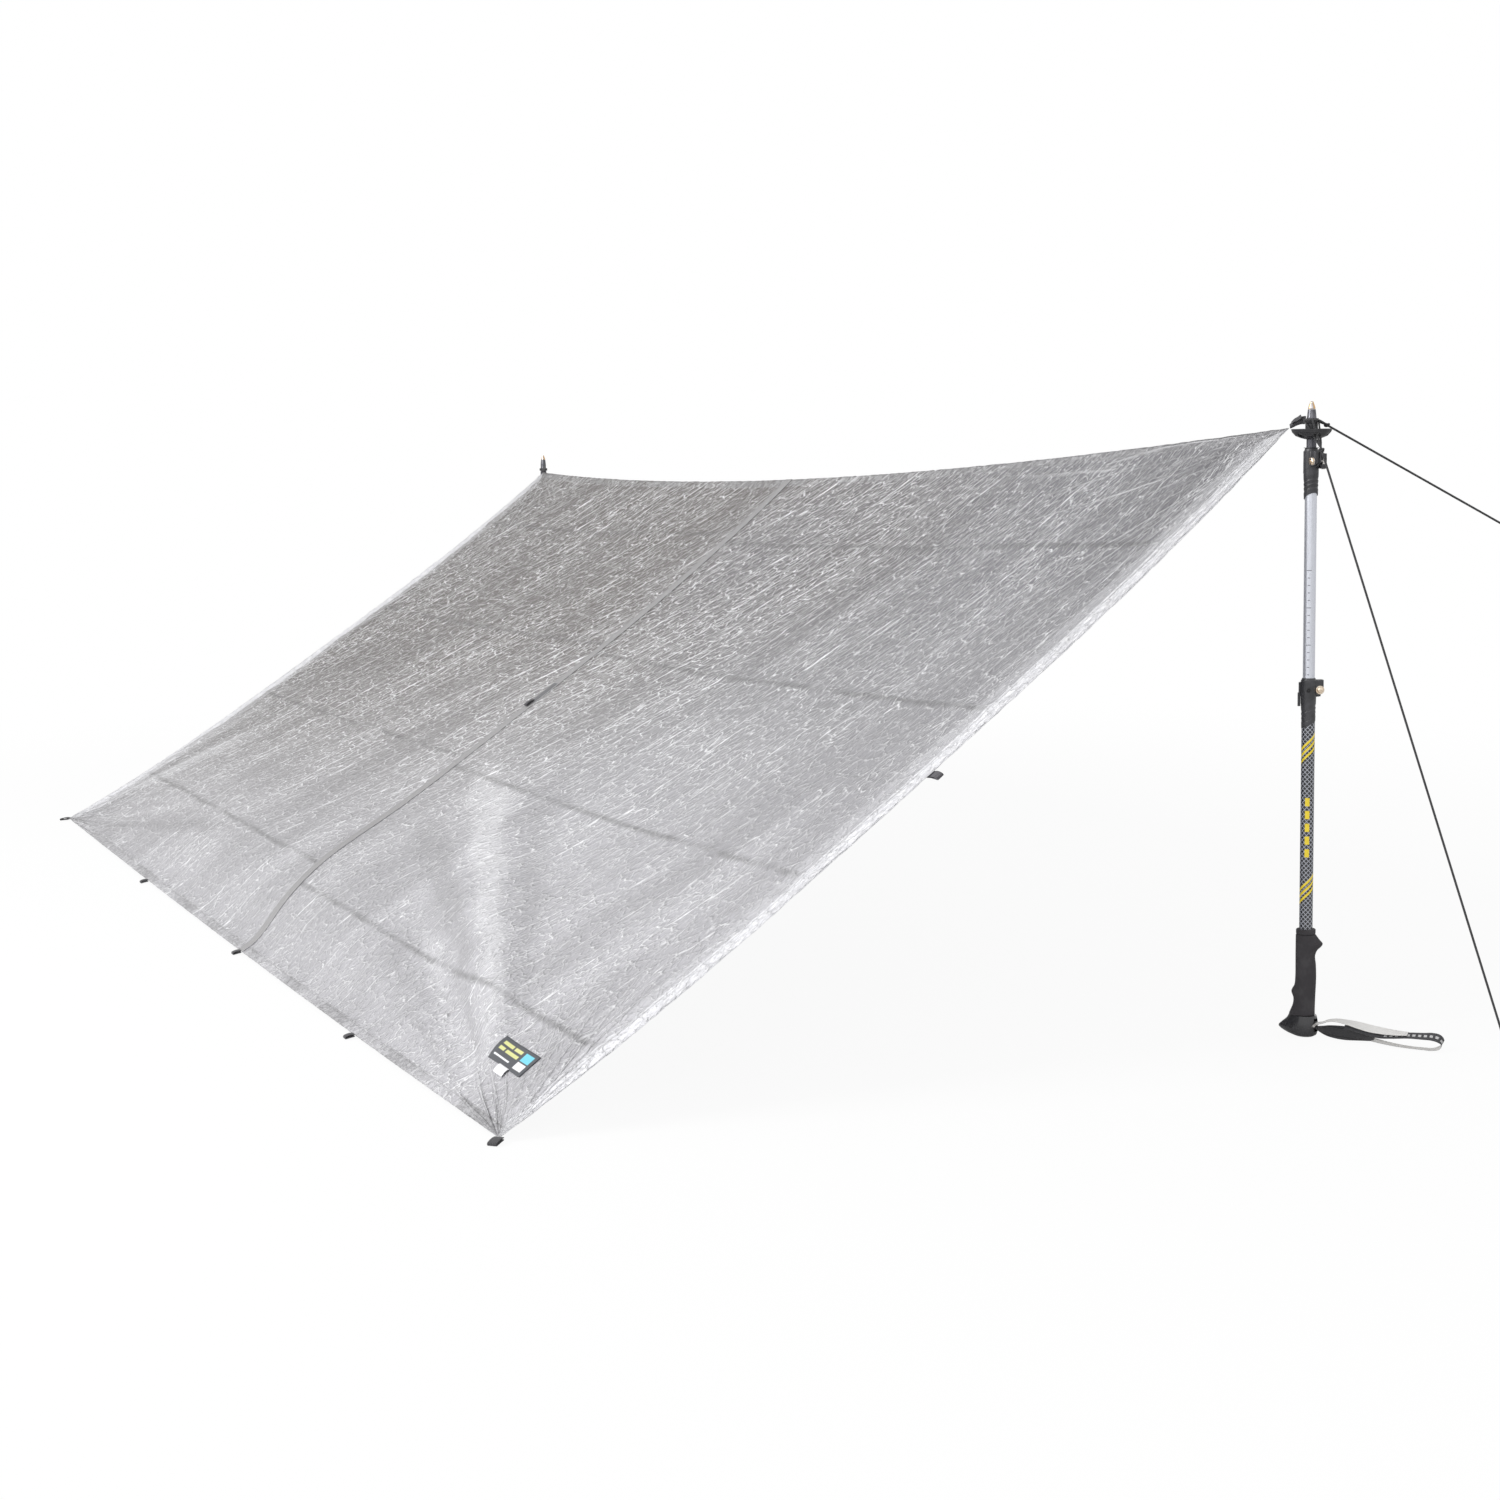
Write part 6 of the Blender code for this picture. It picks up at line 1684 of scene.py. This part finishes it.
def cordPiece(name, path, radius, closed=False, sides=12):
    path = np.array([tuple(p) for p in path], float)
    tangent = tangentsOf(path, closed)
    side = np.cross(tangent[0], [0.0, 0.0, 1.0])
    length = lengthsAlong(path)
    turns = turnsOf(sides)[:, None]
    rings = np.zeros((len(path), sides, 3))
    for i, way in enumerate(tangent):
        side = side - way * side.dot(way)
        side /= np.linalg.norm(side)
        rings[i] = path[i] + radius * (side * np.cos(turns) + np.cross(way, side) * np.sin(turns))
    marks = pack(length[:, None], turns.T, 0.0)
    return linkMesh(name, ringMesh(rings, {"cordPlace": marks}, closed), guyCord, 60.0)


guyCord = cordMaterial()


def makeGuys():
    radius = guy["diameter"] / 2
    for side in ("right", "front"):
        name, node = side + "GuyLine", side + "_guy_line"
        route = guyRoute(side)
        fine = [route[0]]
        for a, b in zip(route, route[1:]):
            count = max(1, round((b - a).length / guy["fineStep"]))
            fine += [a.lerp(b, (i + 1) / count) for i in range(count)]
        cord = cordPiece(name, fine, radius)
        way = (route[-1] - route[-2]).normalized()
        matrix = frameOn(route[-1] + way * guy["gap"], way, (0, 0, 1))
        eye = []
        level, swing, power = guy["loopShape"]
        for i in range(guy["loopSteps"]):
            angle = 2 * math.pi * i / guy["loopSteps"]
            long = guy["loopLength"] / 2 - radius
            wide = (guy["loopWidth"] / 2 - radius) * (level - swing * math.cos(angle)) ** power
            eye.append(matrix @ Vector((guy["loopLength"] / 2 - long * math.cos(angle), wide * math.sin(angle), 0)))
        loop = cordPiece(name + "EndLoop", eye, radius, closed=True)
        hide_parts(node)
        standFor(loop, node + "_end_loop")
        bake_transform(cord)


makeGuys()
makeCornerLoops()


# the cords' tie loops round the pole tip, each with its knot
tie = {"around": 0.0101, "cord": 0.00135, "knotReach": 0.0225, "knotSize": 0.0021, "open": 62.0, "steps": 26,
       "lift": 0.0006, "shares": (0.25, 0.5, 0.75), "knotSteps": 60, "knotFlat": 0.7,
       "rise": {"right": 0.0006, "front": -0.002}}


def makeTies():
    for side in ("right", "front"):
        out = towards(guy[side + "Start"])
        away = Vector((-out.y, out.x, 0.0))
        level = Vector((0, 0, guy["startHeight"] + tie["rise"][side]))
        knot = next(p for p in guyRoute(side) if math.hypot(p.x, p.y) > tie["knotReach"])
        loop = [(out * math.cos(turn) + away * math.sin(turn)) * tie["around"] + level
                for turn in np.radians(np.linspace(tie["open"], 360 - tie["open"], tie["steps"]))]
        first, last = loop[0], loop[-1]
        lift = Vector((0, 0, tie["lift"]))
        loop += [last.lerp(knot, share) + lift for share in tie["shares"]]
        loop += [knot] + [first.lerp(knot, share) + lift for share in reversed(tie["shares"])]
        size = tie["knotSize"]
        lump = []
        for turn in turnsOf(tie["knotSteps"]):
            reach = (2 + math.cos(3 * turn)) * size / 2
            lump.append(knot + Vector((reach * math.cos(2 * turn), reach * math.sin(2 * turn),
                                       math.sin(3 * turn) * size * tie["knotFlat"])))
        name = side + "GuyLineTie"
        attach(cordPiece(name, loop, tie["cord"], closed=True), "right_tip")
        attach(cordPiece(name + "Knot", lump, tie["cord"], closed=True), "right_tip")


makeTies()
print("guy lines and corner loops made")
